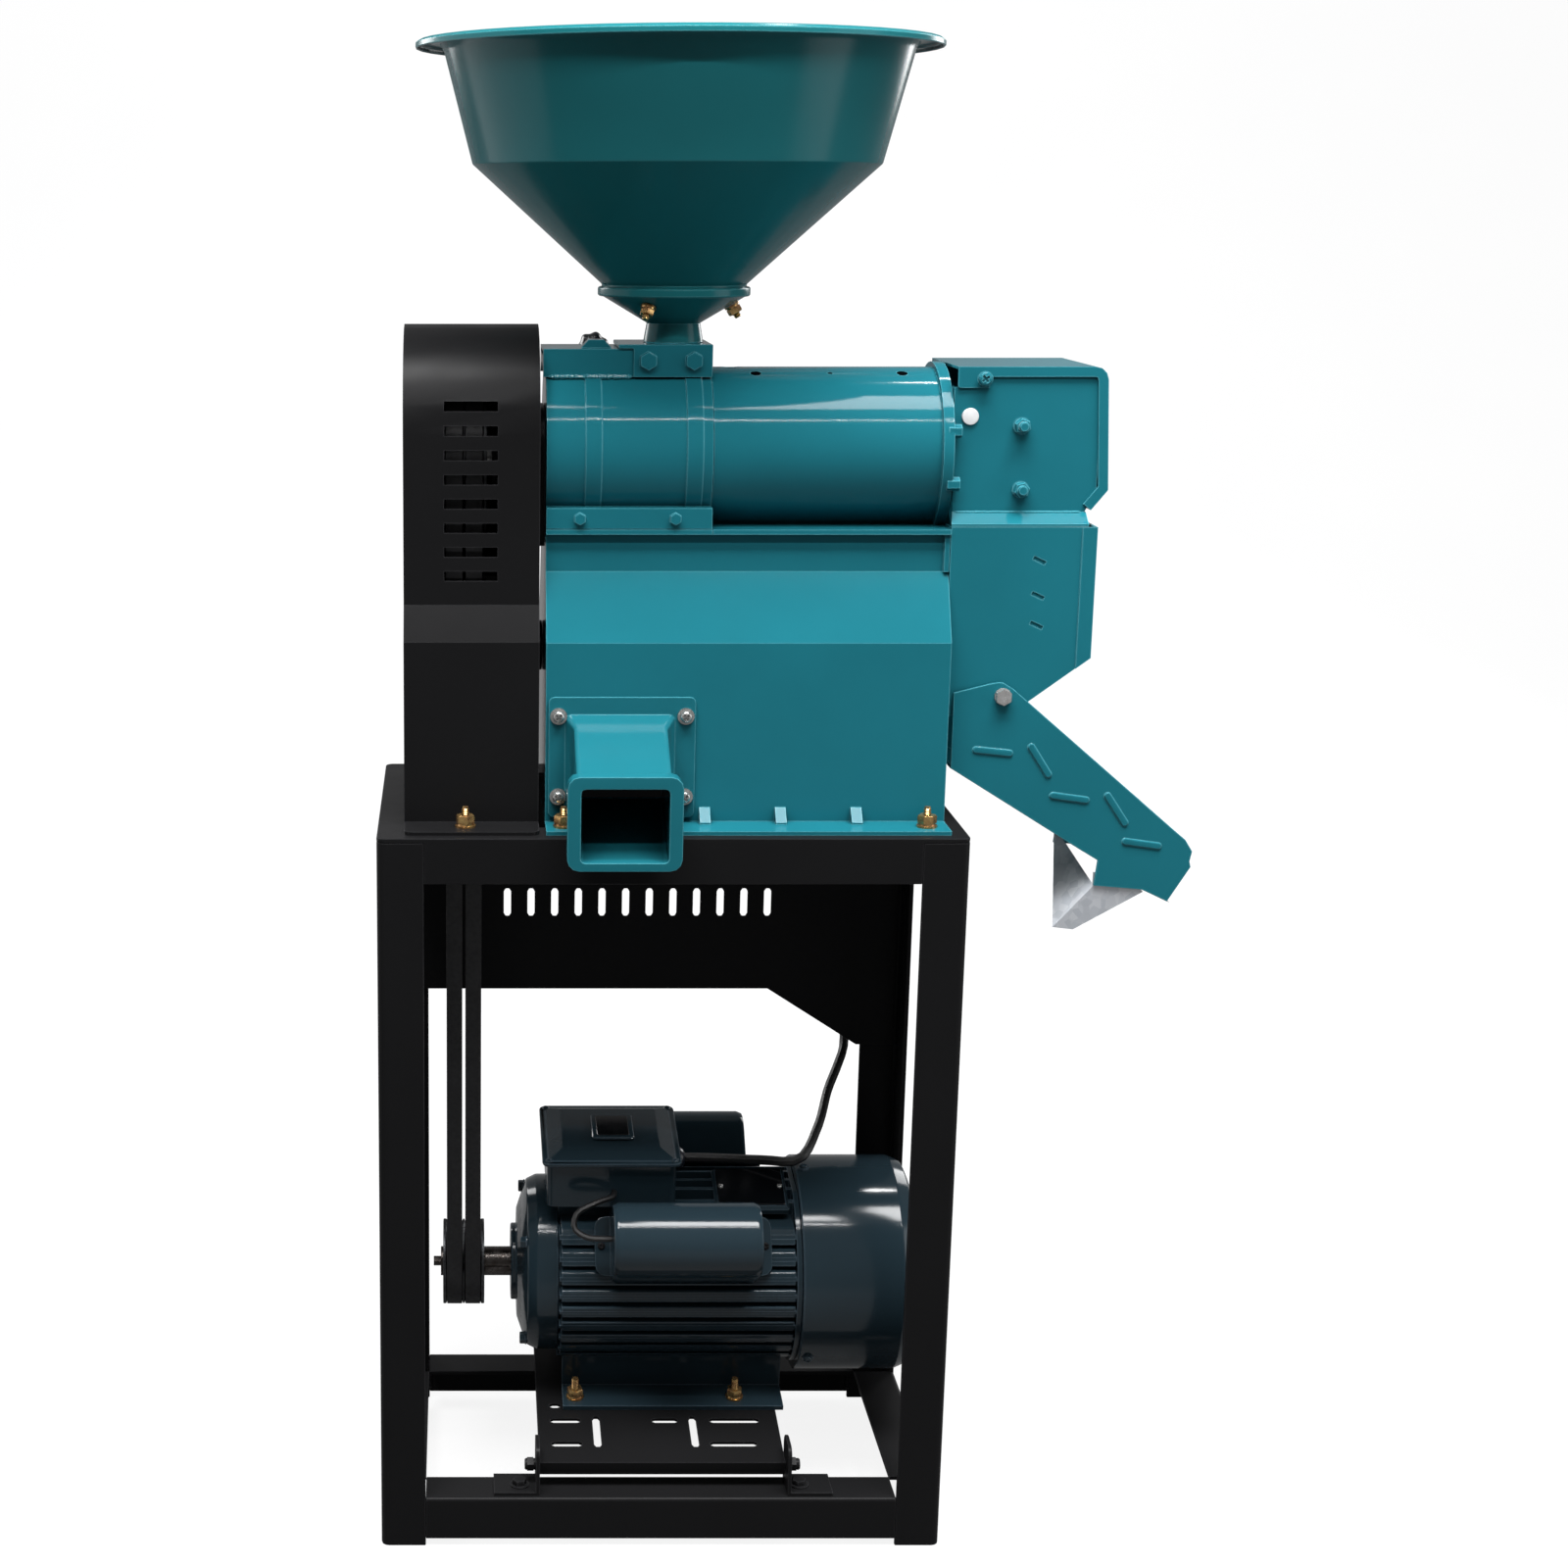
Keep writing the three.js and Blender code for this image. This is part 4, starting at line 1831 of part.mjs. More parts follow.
buildMillBody();
buildFeedChamber();
buildChamberCover();
buildBarrel();
buildScreen();
buildMainShaft();
buildFeedScrew();
buildRoller();
buildMainPulley();
buildBearing();
buildBearingHousing();
buildBeltGuard();
buildGuardPlate();
buildFan();
const beltMiddle = pulleyLeft + pulleyWidth / 2;
buildBelt('drive_belt_outer', beltMiddle - groovePitch / 2);
buildBelt('drive_belt_inner', beltMiddle + groovePitch / 2);
buildFeedBlock();
buildGate();
buildHopperSeat();
buildCollar();
buildHopper();
buildDuct();
buildOutletBox();
buildOutletCover();
buildPressureFlap();
buildSeparator();
buildChute();
buildDeflector();
buildPivotBolt('chute_bolt_front', -1);
buildPivotBolt('chute_bolt_rear', 1);

buildBasePlate();
buildMotorHousing();
buildDriveShield();
buildFanCover();
buildMotorShaft();
buildMotorPulley();
buildTerminalBox();
buildTerminalLid();
buildCapacitor('capacitor_front', capacitorFrontAngle, capacitorFrontReach, capacitorFrontRadius,
  capacitorFrontLeft, capacitorFrontRight);
buildCapacitor('capacitor_rear', capacitorRearAngle, capacitorRearReach, capacitorRearRadius,
  capacitorRearLeft, capacitorRearRight);
buildCapacitorLead();
buildBracket('hinge_bracket_left', -1);
buildBracket('hinge_bracket_right', 1);
buildMotorCable();

huller.updateMatrixWorld(true);
const extent = new THREE.Box3().setFromObject(huller, true);
const footprint = extent.getCenter(new THREE.Vector3());
huller.position.set(-footprint.x, -footprint.y, -extent.min.z);

export default huller;
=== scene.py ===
import math
import random

import bmesh
import bpy
from mathutils import Matrix, Vector


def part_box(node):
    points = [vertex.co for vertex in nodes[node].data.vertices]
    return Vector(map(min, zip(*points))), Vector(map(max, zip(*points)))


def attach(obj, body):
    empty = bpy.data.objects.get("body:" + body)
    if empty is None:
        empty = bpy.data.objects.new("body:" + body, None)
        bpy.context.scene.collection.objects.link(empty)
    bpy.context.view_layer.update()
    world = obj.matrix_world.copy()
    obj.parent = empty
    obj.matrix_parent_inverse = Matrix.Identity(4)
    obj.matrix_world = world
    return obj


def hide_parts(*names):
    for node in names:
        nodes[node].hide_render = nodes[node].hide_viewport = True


# Coffee bean huller, dressed over its CAD frame. Metres, in the frame of the CAD: X along the main
# shaft, -Y towards the husk duct, Z up. Places are taken from the boxes of the CAD nodes, or are
# counted from the middle of the stand, the top of its table and the axis of the motor.

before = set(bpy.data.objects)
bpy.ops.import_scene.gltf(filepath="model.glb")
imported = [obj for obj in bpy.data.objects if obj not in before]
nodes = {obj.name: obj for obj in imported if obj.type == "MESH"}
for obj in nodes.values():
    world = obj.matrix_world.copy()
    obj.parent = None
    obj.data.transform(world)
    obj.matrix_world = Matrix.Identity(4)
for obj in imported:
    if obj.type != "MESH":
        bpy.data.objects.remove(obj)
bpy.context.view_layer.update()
random.seed(7)

# Places taken from the frame
stand_low, stand_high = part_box("top_frame")
stand_x = (stand_low.x + stand_high.x) / 2
table_z = stand_high.z
duct_low, duct_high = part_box("discharge_duct")
switch_low, switch_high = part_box("switch_box")
block_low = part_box("feed_block")[0]
outlet_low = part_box("outlet_box")[0]
collar_low, collar_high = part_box("hopper_collar")
shaft_low, shaft_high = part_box("main_shaft")
shaft_z = (shaft_low.z + shaft_high.z) / 2
hopper_x = (collar_low.x + collar_high.x) / 2


def at(x, y, z):
    """A point counted from the middle of the stand along X, the shaft along Y and the floor."""
    return Vector((stand_x + x, y, z))


def linear(red, green, blue):
    """A colour written as screen values from 0 to 255."""

    def channel(value):
        share = value / 255
        return share / 12.92 if share <= 0.04045 else ((share + 0.055) / 1.055) ** 2.4

    return (channel(red), channel(green), channel(blue), 1.0)


def scaled(colour, factor):
    """The colour brighter or darker by a factor, white at most."""
    return tuple(min(1.0, channel * factor) for channel in colour[:3]) + (1.0,)


# Materials


class Shader:
    """A node material with short calls for the nodes it uses."""

    def __init__(self, name):
        self.material = bpy.data.materials.new(name)
        self.material.use_nodes = True
        self.nodes = self.material.node_tree.nodes
        self.links = self.material.node_tree.links
        self.main = self.nodes["Principled BSDF"]
        self.place = self.nodes.new("ShaderNodeTexCoord").outputs["Object"]

    def set(self, **values):
        for name, value in values.items():
            self.main.inputs[name.replace("_", " ")].default_value = value

    def noise(self, scale, detail=3.0, roughness=0.55, stretch=None):
        node = self.nodes.new("ShaderNodeTexNoise")
        node.inputs["Scale"].default_value = scale
        node.inputs["Detail"].default_value = detail
        node.inputs["Roughness"].default_value = roughness
        place = self.place
        if stretch:
            mapping = self.nodes.new("ShaderNodeMapping")
            mapping.inputs["Scale"].default_value = stretch
            self.links.new(place, mapping.inputs["Vector"])
            place = mapping.outputs["Vector"]
        self.links.new(place, node.inputs["Vector"])
        return node.outputs["Fac"]

    def cells(self, scale):
        node = self.nodes.new("ShaderNodeTexVoronoi")
        node.inputs["Scale"].default_value = scale
        self.links.new(self.place, node.inputs["Vector"])
        return node.outputs["Color"]

    def spread(self, source, low, high, start=0.3, end=0.7):
        """Maps the source from start and end to low and high, and holds it there."""
        node = self.nodes.new("ShaderNodeMapRange")
        node.inputs["From Min"].default_value = start
        node.inputs["From Max"].default_value = end
        node.inputs["To Min"].default_value = low
        node.inputs["To Max"].default_value = high
        self.links.new(source, node.inputs["Value"])
        return node.outputs["Result"]

    def mix(self, share, first, second):
        """A colour between two, each a value or a socket."""
        node = self.nodes.new("ShaderNodeMix")
        node.data_type = "RGBA"
        self.links.new(share, node.inputs["Factor"])
        colours = [socket for socket in node.inputs if socket.type == "RGBA"]
        for socket, value in zip(colours, (first, second)):
            if isinstance(value, tuple):
                socket.default_value = value
            else:
                self.links.new(value, socket)
        return next(socket for socket in node.outputs if socket.type == "RGBA")

    def bumps(self, *layers):
        """Layers of (height source, distance), joined into one normal."""
        normal = None
        for source, distance in layers:
            node = self.nodes.new("ShaderNodeBump")
            node.inputs["Distance"].default_value = distance
            node.inputs["Strength"].default_value = 1.0
            self.links.new(source, node.inputs["Height"])
            if normal is not None:
                self.links.new(normal, node.inputs["Normal"])
            normal = node.outputs["Normal"]
        self.links.new(normal, self.main.inputs["Normal"])

    def wire(self, source, name):
        self.links.new(source, self.main.inputs[name])


def painted_edge_highlight(shader, base, highlight):
    """Paints a highlight along the edges: a lighter colour where the rounded normal turns away from
    the face.
    """
    reach, amount = 0.0011, 0.7
    full_turn, no_turn = 0.955, 0.998
    softened = shader.nodes.new("ShaderNodeBevel")
    softened.samples = 4
    softened.inputs["Radius"].default_value = reach
    geometry = shader.nodes.new("ShaderNodeNewGeometry")
    turn = shader.nodes.new("ShaderNodeVectorMath")
    turn.operation = "DOT_PRODUCT"
    shader.links.new(softened.outputs["Normal"], turn.inputs[0])
    shader.links.new(geometry.outputs["Normal"], turn.inputs[1])
    share = shader.spread(turn.outputs["Value"], amount, 0.0, full_turn, no_turn)
    return shader.mix(share, base, highlight)


def painted_hollow_shade(shader, tint, darkness, reach):
    """Paints shade into deep corners and the inside of ducts, darkening the colour where the
    surface is hemmed in.
    """
    shut, open_sky = 0.1, 0.55
    hollow_shade_colour = (0.002, 0.004, 0.005, 1.0)
    shelter = shader.nodes.new("ShaderNodeAmbientOcclusion")
    shelter.samples = 8
    shelter.inputs["Distance"].default_value = reach
    depth = shader.spread(shelter.outputs["AO"], darkness, 0.0, shut, open_sky)
    return shader.mix(depth, tint, hollow_shade_colour)


def enamel(name, colour, rough, peel_scale, peel_depth, edge_highlight, shine, depth=0.0, reach=0.03):
    """Sprayed enamel: slow colour drift, uneven gloss, orange peel and long waves in the sheet,
    with a painted highlight along the edges and, where depth is given, painted shade in the
    hollows.
    """
    drift_scale, gloss_scale, wave_scale = 9.0, 28.0, 5.0
    wave_depth = 0.0005
    shade = 0.9
    shader = Shader(name)
    base = linear(*colour)
    drift = shader.spread(shader.noise(drift_scale, 4.0), 0.0, 1.0)
    tint = shader.mix(drift, scaled(base, shade), base)
    # Painted highlight: a lighter colour along the edges, standing in for light caught by their
    # rounding
    tint = painted_edge_highlight(shader, tint, linear(*edge_highlight))
    # Painted shade in the hollows, as strong as depth asks
    if depth:
        tint = painted_hollow_shade(shader, tint, depth, reach)
    shader.wire(tint, "Base Color")
    gloss = shader.spread(shader.noise(gloss_scale, 2.0), rough * 0.9, rough * 1.12, 0.2, 0.8)
    shader.wire(gloss, "Roughness")
    shader.set(Specular_IOR_Level=shine)
    shader.bumps(
        (shader.noise(wave_scale, 1.0), wave_depth),
        (shader.noise(peel_scale, 2.0), peel_depth),
    )
    return shader.material


def metal(name, colour, rough, brush, depth, tarnish, bare=1.0):
    """Bare or plated metal with fine brushed lines, clouded gloss and painted shade in its
    crevices.
    """
    cloud_scale, gloss_scale = 160.0, 240.0
    stretch = (1.0, 0.12, 1.0)
    # Strength and reach of the painted shade in the crevices
    darkness, reach = 0.7, 0.002
    shader = Shader(name)
    clouds = shader.spread(shader.noise(cloud_scale, 4.0), 0.0, 1.0)
    tint = shader.mix(clouds, linear(*colour), linear(*tarnish))
    shader.wire(painted_hollow_shade(shader, tint, darkness, reach), "Base Color")
    shader.set(Metallic=bare)
    gloss = shader.spread(shader.noise(gloss_scale, 3.0), rough * 0.7, rough * 1.4)
    shader.wire(gloss, "Roughness")
    shader.bumps((shader.noise(brush, 2.0, stretch=stretch), depth))
    return shader.material


def galvanised(name):
    """Zinc coated sheet with flat crystal spangles."""
    spangle_scale, grain_scale, grain_depth = 160.0, 700.0, 0.00003
    dull, bright = linear(196, 201, 208), linear(222, 225, 230)
    smooth, rough = 0.32, 0.5
    shader = Shader(name)
    shader.set(Metallic=0.55)
    spangle = shader.cells(spangle_scale)
    split = shader.nodes.new("ShaderNodeSeparateColor")
    shader.links.new(spangle, split.inputs["Color"])
    shader.wire(shader.mix(split.outputs["Red"], dull, bright), "Base Color")
    shader.wire(shader.spread(split.outputs["Green"], smooth, rough, 0.0, 1.0), "Roughness")
    shader.bumps((shader.noise(grain_scale, 2.0), grain_depth))
    return shader.material


def rubber(name, colour, rough, grain, shine=0.5):
    """Matt rubber with a fine grain and a little dust."""
    dust_scale, gloss_scale, grain_depth = 60.0, 300.0, 0.00006
    dusty = 1.9
    shader = Shader(name)
    base = linear(*colour)
    dust = shader.spread(shader.noise(dust_scale, 6.0), 0.0, 0.6, 0.45, 0.75)
    shader.wire(shader.mix(dust, base, scaled(base, dusty)), "Base Color")
    gloss = shader.spread(shader.noise(gloss_scale, 2.0), rough * 0.85, min(1.0, rough * 1.15))
    shader.wire(gloss, "Roughness")
    shader.bumps((shader.noise(grain, 3.0), grain_depth))
    shader.set(Specular_IOR_Level=shine)
    return shader.material


def plastic(name, colour, rough):
    """Moulded plastic with clouded gloss and a faint grain."""
    cloud_scale, gloss_scale, grain_scale, grain_depth = 40.0, 90.0, 900.0, 0.00002
    shade = 0.9
    shader = Shader(name)
    base = linear(*colour)
    clouds = shader.spread(shader.noise(cloud_scale, 3.0), 0.0, 1.0)
    shader.wire(shader.mix(clouds, scaled(base, shade), base), "Base Color")
    gloss = shader.spread(shader.noise(gloss_scale, 2.0), rough * 0.85, rough * 1.2)
    shader.wire(gloss, "Roughness")
    shader.bumps((shader.noise(grain_scale, 2.0), grain_depth))
    return shader.material


# Colours of the painted highlight along the edges, here and in the enamels below
teal_edge_highlight = (96, 170, 182)
fine_grain = 0.00002

# Teal and hopper enamel carry painted shade in their hollows (depth)
teal = enamel("teal_enamel", (28, 108, 121), 0.085, 420.0, fine_grain, teal_edge_highlight, 0.12, depth=0.6)
hopper_teal = enamel("hopper_enamel", (26, 100, 106), 0.19, 380.0, fine_grain, (90, 160, 168), 0.14,
                     depth=0.6)
black = enamel("black_enamel", (24, 24, 25), 0.36, 900.0, 0.00003, (52, 52, 54), 0.07)
# The duct's own copy of the teal, with deep, far-reaching painted shade that darkens its inside
duct_teal_shaded = enamel("duct_enamel_shaded", (28, 104, 116), 0.10, 420.0, fine_grain, teal_edge_highlight, 0.12,
                   depth=0.95, reach=0.14)
slate = enamel("slate_enamel", (36, 51, 59), 0.12, 260.0, 0.000015, (84, 100, 112), 0.32)
dark_steel = metal("dark_steel", (96, 92, 90), 0.3, 900.0, fine_grain, (64, 58, 54))
steel = metal("bright_steel", (208, 208, 208), 0.24, 900.0, fine_grain, (178, 176, 173), bare=0.7)
screw_steel = metal("screw_steel", (208, 208, 206), 0.24, 700.0, 0.00001, (178, 178, 176),
                    bare=0.85)
iron = metal("cast_iron", (88, 90, 92), 0.42, 500.0, 0.00006, (60, 60, 62))
yellow_zinc = metal("yellow_zinc", (204, 172, 112), 0.24, 600.0, fine_grain, (160, 112, 76),
                    bare=0.85)
zinc_sheet = galvanised("galvanised_sheet")
black_rubber = rubber("black_rubber", (24, 24, 26), 0.62, 700.0)
# Dark without shine, for the discs of painted shade under the barrel's holes
hole_shade = rubber("hole_shade", (5, 7, 8), 0.9, 700.0, shine=0.0)
cable_rubber = rubber("cable_rubber", (16, 16, 17), 0.45, 400.0)
black_plastic = plastic("black_plastic", (20, 24, 34), 0.3)
white_plastic = plastic("white_plastic", (228, 229, 230), 0.35)
green_plastic = plastic("green_plastic", (24, 120, 58), 0.3)
red_plastic = plastic("red_plastic", (168, 30, 26), 0.3)
glass_black = plastic("glass_black", (9, 12, 15), 0.12)

# Finish of the CAD nodes

soft_limit = math.radians(38)
crisp_limit = math.radians(20)


def smooth_group(limit):
    """Geometry nodes that shade smooth, apart from edges sharper than the limit."""
    group = bpy.data.node_groups.new("smooth_to_edges", "GeometryNodeTree")
    for way in ("INPUT", "OUTPUT"):
        group.interface.new_socket("Geometry", in_out=way, socket_type="NodeSocketGeometry")
    start = group.nodes.new("NodeGroupInput")
    end = group.nodes.new("NodeGroupOutput")
    faces = group.nodes.new("GeometryNodeSetShadeSmooth")
    faces.domain = "FACE"
    edges = group.nodes.new("GeometryNodeSetShadeSmooth")
    edges.domain = "EDGE"
    edges.inputs["Shade Smooth"].default_value = False
    angle = group.nodes.new("GeometryNodeInputMeshEdgeAngle")
    compare = group.nodes.new("FunctionNodeCompare")
    compare.data_type = "FLOAT"
    compare.operation = "GREATER_THAN"
    compare.inputs["B"].default_value = limit
    link = group.links.new
    link(start.outputs[0], faces.inputs["Geometry"])
    link(faces.outputs[0], edges.inputs["Geometry"])
    link(angle.outputs["Unsigned Angle"], compare.inputs["A"])
    link(compare.outputs["Result"], edges.inputs["Selection"])
    link(edges.outputs[0], end.inputs[0])
    return group


smooth_groups = {limit: smooth_group(limit) for limit in (soft_limit, crisp_limit)}


def round_edges(piece, width, limit, pierced=False):
    """Merges the flat facets, but not round the holes of a pierced sheet, rounds the edges over the
    limit and shades the faces smooth up to them."""
    merge_distance, flat_angle = 0.000005, math.radians(0.4)
    limit_share, flat_weight = 0.95, 60
    weld_points = piece.modifiers.new("weld", "WELD")
    weld_points.merge_threshold = merge_distance
    if not pierced:
        flat = piece.modifiers.new("flat", "DECIMATE")
        flat.decimate_type = "DISSOLVE"
        flat.angle_limit = flat_angle
    if width:
        bevel = piece.modifiers.new("bevel", "BEVEL")
        bevel.width = width
        bevel.segments = 2
        bevel.limit_method = "ANGLE"
        bevel.angle_limit = limit * limit_share
        bevel.use_clamp_overlap = True
        bevel.miter_outer = "MITER_ARC"
    smooth = piece.modifiers.new("smooth", "NODES")
    smooth.node_group = smooth_groups[limit]
    weighted = piece.modifiers.new("weighted", "WEIGHTED_NORMAL")
    weighted.keep_sharp = True
    weighted.weight = flat_weight


def dress(material, width, *names, limit=soft_limit, pierced=False):
    for name in names:
        node = nodes[name]
        node.data.materials.clear()
        node.data.materials.append(material)
        for polygon in node.data.polygons:
            polygon.material_index = 0
        round_edges(node, width, limit, pierced)


# Radii of the edges, from the lid of the terminal box down to thin zinc sheet
lid_round = 0.0014
cast_round = 0.0012
cover_round = 0.0010
bar_round = 0.0009
moulded_round = 0.0008
fold_round = 0.0007
sheet_round = 0.0006
turned_round = 0.0005
zinc_round = 0.0004

dress(black, bar_round, "leg_front_left", "leg_front_right", "leg_rear_left", "leg_rear_right",
      "top_frame", "lower_rail_front", "lower_rail_rear", "lower_rail_left", "lower_rail_right")
dress(black, sheet_round, "belt_guard", limit=crisp_limit, pierced=True)
dress(black, sheet_round, "guard_back_plate", limit=crisp_limit)
dress(black, sheet_round, "bearing_housing", "hinge_bracket_left", "hinge_bracket_right")
dress(black, sheet_round, "motor_base_plate", "switch_panel", pierced=True)
dress(black_plastic, moulded_round, "switch_box")
dress(teal, cast_round, "mill_body", limit=crisp_limit)
dress(teal, bar_round, "feed_block", "hulling_barrel")
dress(teal, fold_round, "feed_chamber", "chamber_cover", "hopper_seat", "outlet_box",
      "outlet_cover")
dress(teal, sheet_round, "separator_box", pierced=True)
dress(duct_teal_shaded, fold_round, "discharge_duct")
dress(hopper_teal, fold_round, "hopper", "hopper_collar", limit=crisp_limit)
dress(slate, cast_round, "motor_housing", "drive_end_shield", "fan_cover", limit=crisp_limit)
dress(slate, cover_round, "terminal_box", "capacitor_front", "capacitor_rear")
dress(slate, lid_round, "terminal_lid", limit=crisp_limit)
dress(steel, turned_round, "screen", "main_shaft", "main_bearing", "fan_shaft", "pressure_flap",
      "chute_bolt_front", "chute_bolt_rear")
dress(dark_steel, turned_round, "motor_shaft")
dress(iron, sheet_round, "feed_screw", "hulling_roller", "main_pulley", "fan_pulley",
      "motor_pulley", "fan_impeller")
dress(zinc_sheet, zinc_round, "gate_plate", "chute_deflector")
dress(black_rubber, moulded_round, "drive_belt_inner", "drive_belt_outer")
dress(cable_rubber, 0.0, "motor_cable", "capacitor_lead")
dress(green_plastic, moulded_round, "start_button")
dress(red_plastic, moulded_round, "stop_button")

# Meshes for the small pieces, built with their own Z along the screw


def mesh_of(build):
    mesh = bpy.data.meshes.new("mesh")
    bm = bmesh.new()
    build(bm)
    bmesh.ops.recalc_face_normals(bm, faces=bm.faces)
    for face in bm.faces:
        face.smooth = True
    bm.to_mesh(mesh)
    bm.free()
    mesh.set_sharp_from_angle(angle=soft_limit)
    return mesh


def bridge(bm, rings, closed=True):
    """Faces from each ring of points to the next one, and over the first and the last ring."""
    for lower, upper in zip(rings, rings[1:]):
        for i in range(len(lower)):
            j = (i + 1) % len(lower)
            bm.faces.new([lower[i], lower[j], upper[j], upper[i]])
    if closed:
        bm.faces.new(rings[0][::-1])
        bm.faces.new(rings[-1])


def add_ring(bm, radius, height, count, shares=None):
    """Points round Z; each share widens or narrows the radius at its own point."""
    ring = []
    for i in range(count):
        angle = 2 * math.pi * i / count
        reach = radius * shares[i] if shares else radius
        ring.append(bm.verts.new((reach * math.cos(angle), reach * math.sin(angle), height)))
    return ring


def add_turned(bm, profile, segments):
    """A profile of (radius, height) turned about Z; a radius of nought is a point on the axis."""
    rings = [add_ring(bm, radius, height, segments if radius else 1) for radius, height in profile]
    for lower, upper in zip(rings, rings[1:]):
        for i in range(segments):
            turns = ((lower, i), (lower, i + 1), (upper, i + 1), (upper, i))
            corners = list(dict.fromkeys(ring[turn % len(ring)] for ring, turn in turns))
            if len(corners) > 2:
                bm.faces.new(corners)


def turned(profile, segments):
    return mesh_of(lambda bm: add_turned(bm, profile, segments))


def disc(radius, low, high):
    """Profile of a flat disc."""
    return [(0, low), (radius, low), (radius, high), (0, high)]


def add_hexagon(bm, flats, low, high, chamfer):
    """A hexagon with its top corners turned off."""
    corner, top_share = flats / math.sqrt(3), 0.9
    levels = [(corner, low), (corner, high - chamfer), (corner * top_share, high)]
    bridge(bm, [add_ring(bm, radius, height, 6) for radius, height in levels])


def add_x_prism(bm, outline, low, high):
    """A prism along X over an outline of (y, z)."""
    bridge(bm, [[bm.verts.new((x, y, z)) for y, z in outline] for x in (low, high)])


def add_y_prism(bm, outline, low, high):
    """A prism along Y over an outline of (x, z)."""
    bridge(bm, [[bm.verts.new((x, y, z)) for x, z in outline] for y in (low, high)])


def rounded_rectangle(half_x, half_y, corner, steps, inset=0.0):
    """Points of a rectangle with round corners, drawn inwards by the inset."""
    points = []
    radius = corner - inset
    for quarter, (u, v) in enumerate(((1, 1), (-1, 1), (-1, -1), (1, -1))):
        for step in range(steps + 1):
            angle = math.pi / 2 * (quarter + step / steps)
            points.append((u * (half_x - corner) + radius * math.cos(angle),
                           v * (half_y - corner) + radius * math.sin(angle)))
    return points


# Sides of the round parts of a fastener
washer_sides, spring_sides, stud_sides = 28, 24, 18


def thread(radius, low, high):
    """Profile of a threaded stud from low to high, with a chamfered end."""
    pitch, groove, end = 0.00125, 0.45, 0.8
    profile = [(0, low), (radius, low)]
    height = low
    while height + pitch < high:
        profile += [(radius, height), (radius - pitch * groove, height + pitch / 2)]
        height += pitch
    profile += [(radius * end, high), (0, high)]
    return profile


def nut_on_stud(flats, stud, reach):
    """A nut over a flat and a spring washer, and the end of its stud above it."""
    washer, sheet = flats * 0.62, flats * 0.12
    spring_foot, spring_head = washer * 0.86, washer * 0.8
    seat = sheet * 2
    nut_height, chamfer = flats * 0.5, flats * 0.07
    stud_start = seat + nut_height * 0.9

    def build(bm):
        add_turned(bm, [(0, 0), (washer, 0), (washer, sheet), (stud, sheet), (0, sheet)],
                   washer_sides)
        add_turned(bm, [(0, sheet), (spring_foot, sheet), (spring_head, seat), (0, seat)],
                   washer_sides)
        add_hexagon(bm, flats, seat, seat + nut_height, chamfer)
        add_turned(bm, thread(stud, stud_start, seat + nut_height + reach), stud_sides)

    return mesh_of(build)


def hex_screw(flats, height, washer, sheet):
    """A hexagon head over a flat washer."""
    chamfer = flats * 0.08

    def build(bm):
        add_turned(bm, disc(washer, 0, sheet), washer_sides)
        add_hexagon(bm, flats, sheet, sheet + height, chamfer)

    return mesh_of(build)


def pan_screw(radius, height, washer=0.0, sheet=0.0):
    """A pan head with a cross recess sunk into its top, over a flat and a spring washer or none."""
    spring, seat = washer * 0.8, sheet * 1.8
    slot, arm, recess_depth, recess_share = radius * 0.19, radius * 0.6, height * 0.6, 0.8
    dome = [(1.0, 0.0), (1.0, 0.45), (0.9, 0.8), (0.72, 0.97)]
    top = seat + height

    def build(bm):
        if washer:
            add_turned(bm, disc(washer, 0, sheet), washer_sides)
            add_turned(bm, disc(spring, sheet, seat), spring_sides)
        cross = []
        for turn in range(4):
            c, s = math.cos(turn * math.pi / 2), math.sin(turn * math.pi / 2)
            for u, v in ((arm, -slot), (arm, slot), (slot, slot)):
                cross.append((u * c - v * s, u * s + v * c))
        angles = [math.atan2(v, u) for u, v in cross]
        rings = []
        for share, rise in dome:
            reach, level = radius * share, seat + height * rise
            rings.append([bm.verts.new((reach * math.cos(angle), reach * math.sin(angle), level))
                          for angle in angles])
        for share, level in ((1.0, top), (recess_share, top - recess_depth)):
            rings.append([bm.verts.new((u * share, v * share, level)) for u, v in cross])
        bridge(bm, rings)

    return mesh_of(build)


def piece(name, mesh, material, slot=None):
    if not mesh.materials:
        mesh.materials.append(material)
    made = bpy.data.objects.new(name, mesh)
    bpy.context.scene.collection.objects.link(made)
    return made


def aim(direction, spin=0.0):
    """A turn that points Z along the direction, after a spin in degrees about Z."""
    turn = Vector(direction).normalized().to_track_quat("Z", "Y").to_matrix().to_4x4()
    return turn @ Matrix.Rotation(math.radians(spin), 4, "Z")


def fasten(name, mesh, material, body, point, direction, spin=0.0, slot=None):
    """A fastener with its seat at the point and its head pointing along the direction."""
    made = piece(name, mesh, material, slot)
    made.matrix_world = Matrix.Translation(point) @ aim(direction, spin)
    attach(made, body)
    return made


def slab(name, material, body, centre, y_way, size, thickness, corner, slot=None):
    """A flat plate with round corners, seated at its centre, with its sides along X and y_way."""
    side_share, edge_share, corner_steps = 0.6, 0.4, 4
    levels = ((0.0, 0.0), (thickness * side_share, 0.0), (thickness, thickness * edge_share))

    def build(bm):
        rings = []
        for level, inset in levels:
            outline = rounded_rectangle(size[0] / 2, size[1] / 2, corner, corner_steps, inset)
            rings.append([bm.verts.new((x, y, level)) for x, y in outline])
        bridge(bm, rings)

    made = piece(name, mesh_of(build), material, slot)
    first, second = Vector((1, 0, 0)), Vector(y_way).normalized()
    turn = Matrix((first, second, first.cross(second))).transposed().to_4x4()
    made.matrix_world = Matrix.Translation(centre) @ turn
    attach(made, body)


